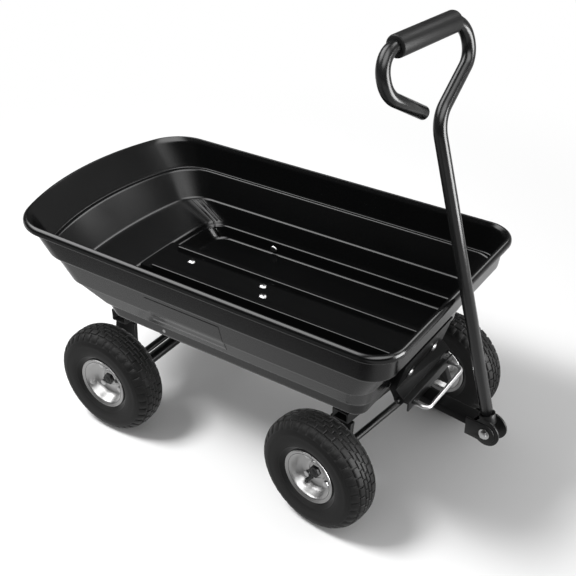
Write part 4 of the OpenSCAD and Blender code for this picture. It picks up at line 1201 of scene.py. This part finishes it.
def stage_floor():
    """A pale floor that takes the shadow and is white far off. Shiny faces see it glow, at a level
    set by place, far off and on the near side: painted reflection.
    """
    size = FLOOR_HALF
    verts = [(-size, -size, 0), (size, -size, 0), (size, size, 0), (-size, size, 0)]
    f = Finish("pale_floor")
    dull = f.node("ShaderNodeBsdfDiffuse", None, {"Color": grey(0.86)})
    place = f.place()
    apart = f.node("ShaderNodeVectorMath", {"operation": "LENGTH"}, [place], out=1)
    along, across = (f.node("ShaderNodeSeparateXYZ", None, [place], out=axis) for axis in "XY")
    seen = f.ray("Is Camera Ray")
    gloss = f.ray("Is Glossy Ray")
    glass = f.ray("Is Transmission Ray")
    # Painted reflection: the glow that shiny faces see is dimmer to the right and far out on the
    # near side.
    near_side = across.fall(-0.12, 0.02)
    dim = across.fall(-0.70, -0.40) * along.fall(0.5, 0.8)
    level = 1.0 - gloss * (0.26 + 0.18 * along.step(-0.4, 0.3) + 0.46 * dim)
    glow = f.node("ShaderNodeEmission", None, {"Color": f.blend(level, grey(0.0), grey(1.0))})
    share = apart.step(0.75, 2.2) * (seen + glass + gloss) + gloss * near_side
    share = share.maths("MINIMUM", 1.0)
    mixed = f.node("ShaderNodeMixShader", None, {0: share, 1: dull, 2: glow})
    f.node("ShaderNodeOutputMaterial", None, {"Surface": mixed})
    floor = mesh_piece("floor", verts, [(0, 1, 2, 3)], f.material)


def softbox(name, at, target, width, height, power, acts_on):
    """A rectangle of light that either lights dull faces or leaves its image in shiny ones."""
    lamp = bpy.data.lights.new(name, "AREA")
    lamp.shape = "RECTANGLE"
    lamp.size, lamp.size_y, lamp.energy = width, height, power
    obj = link(bpy.data.objects.new(name, lamp))
    obj.location = at
    obj.rotation_mode = "QUATERNION"
    obj.rotation_quaternion = (Vector(target) - Vector(at)).to_track_quat("-Z", "Y")
    obj.visible_glossy = acts_on == "GLOSSY"
    obj.visible_diffuse = acts_on == "DIFFUSE"


def sky():
    """Air that is white to the camera, with pale cards that shiny faces see at first hand only."""
    world = bpy.data.worlds.new("studio_air")
    bpy.context.scene.world = world
    f = Finish("studio_air", world)
    way = f.node("ShaderNodeTexCoord", out="Generated")
    right, back, up = (f.node("ShaderNodeSeparateXYZ", None, [way], out=axis) for axis in "XYZ")
    seen = f.ray("Is Camera Ray")
    gloss = f.ray("Is Glossy Ray")
    first = f.ray("Ray Depth").fall(2.2, 2.8)
    far_wall = back.step(-0.15, 0.65) * right.step(-0.45, 0.35)
    far_wall = far_wall * (0.26 - up.step(0.45, 0.9) * 0.16)
    left_card = right.fall(-0.42, -0.15) * back.step(-0.62, -0.30) * back.fall(0.22, 0.50)
    far_card = right.step(0.0, 0.25) * back.step(0.3, 0.6) * up.step(0.60, 0.73)
    lip_card = right.step(0.05, 0.20) * right.fall(0.36, 0.48) * back.step(0.62, 0.74)
    top_card = right.step(-0.1, 0.2) * back.fall(0.0, 0.3) * up.step(0.55, 0.75)
    cards = left_card * up.step(0.42, 0.65) * 5.5 + top_card * 4.5
    cards = cards + (far_card + lip_card * up.step(0.44, 0.54)) * 4.2
    level = 0.62 - gloss * 0.58 + far_wall + gloss * first * cards
    strength = level.maths("MAXIMUM", seen)
    air = f.node("ShaderNodeBackground", None, {"Color": grey(1.0), "Strength": strength})
    f.node("ShaderNodeOutputWorld", None, {"Surface": air})


def camera():
    """The camera as it was fitted to the photo: its place, and its turns in degrees."""
    az, el, roll = (math.radians(turn) for turn in CAMERA_TURNS)
    back = Vector((math.sin(az) * math.cos(el), -math.cos(az) * math.cos(el), math.sin(el)))
    level = Vector((math.cos(az), math.sin(az), 0))
    over = back.cross(level)
    right = level * math.cos(roll) + over * math.sin(roll)
    up = over * math.cos(roll) - level * math.sin(roll)
    lens = bpy.data.cameras.new("photo_camera")
    lens.sensor_width = SENSOR
    lens.lens = FOCAL_PX / PHOTO_PX * SENSOR
    lens.clip_end = 60.0
    cam = link(bpy.data.objects.new("photo_camera", lens))
    turn = Matrix((right, up, back)).transposed().to_4x4()
    cam.matrix_world = Matrix.Translation(CAMERA_AT) @ turn
    bpy.context.scene.camera = cam


# As in the photo, the tub's wall shows no image of the wheels and legs below it
for piece in bpy.context.scene.objects:
    if any(word in piece.name for word in NO_IMAGE):
        piece.visible_glossy = False
stage_floor()
sky()
softbox(
    "key_softbox", at=(-1.45, -1.35, 3.45), target=(0.0, 0.0, 0.2),
    width=1.2, height=1.0, power=145, acts_on="DIFFUSE",
)
softbox(
    "side_softbox", at=(2.3, 0.45, 0.78), target=(0.4, 0.0, 0.6),
    width=1.2, height=1.5, power=80, acts_on="GLOSSY",
)
camera()
bpy.context.scene.view_settings.view_transform = "Standard"
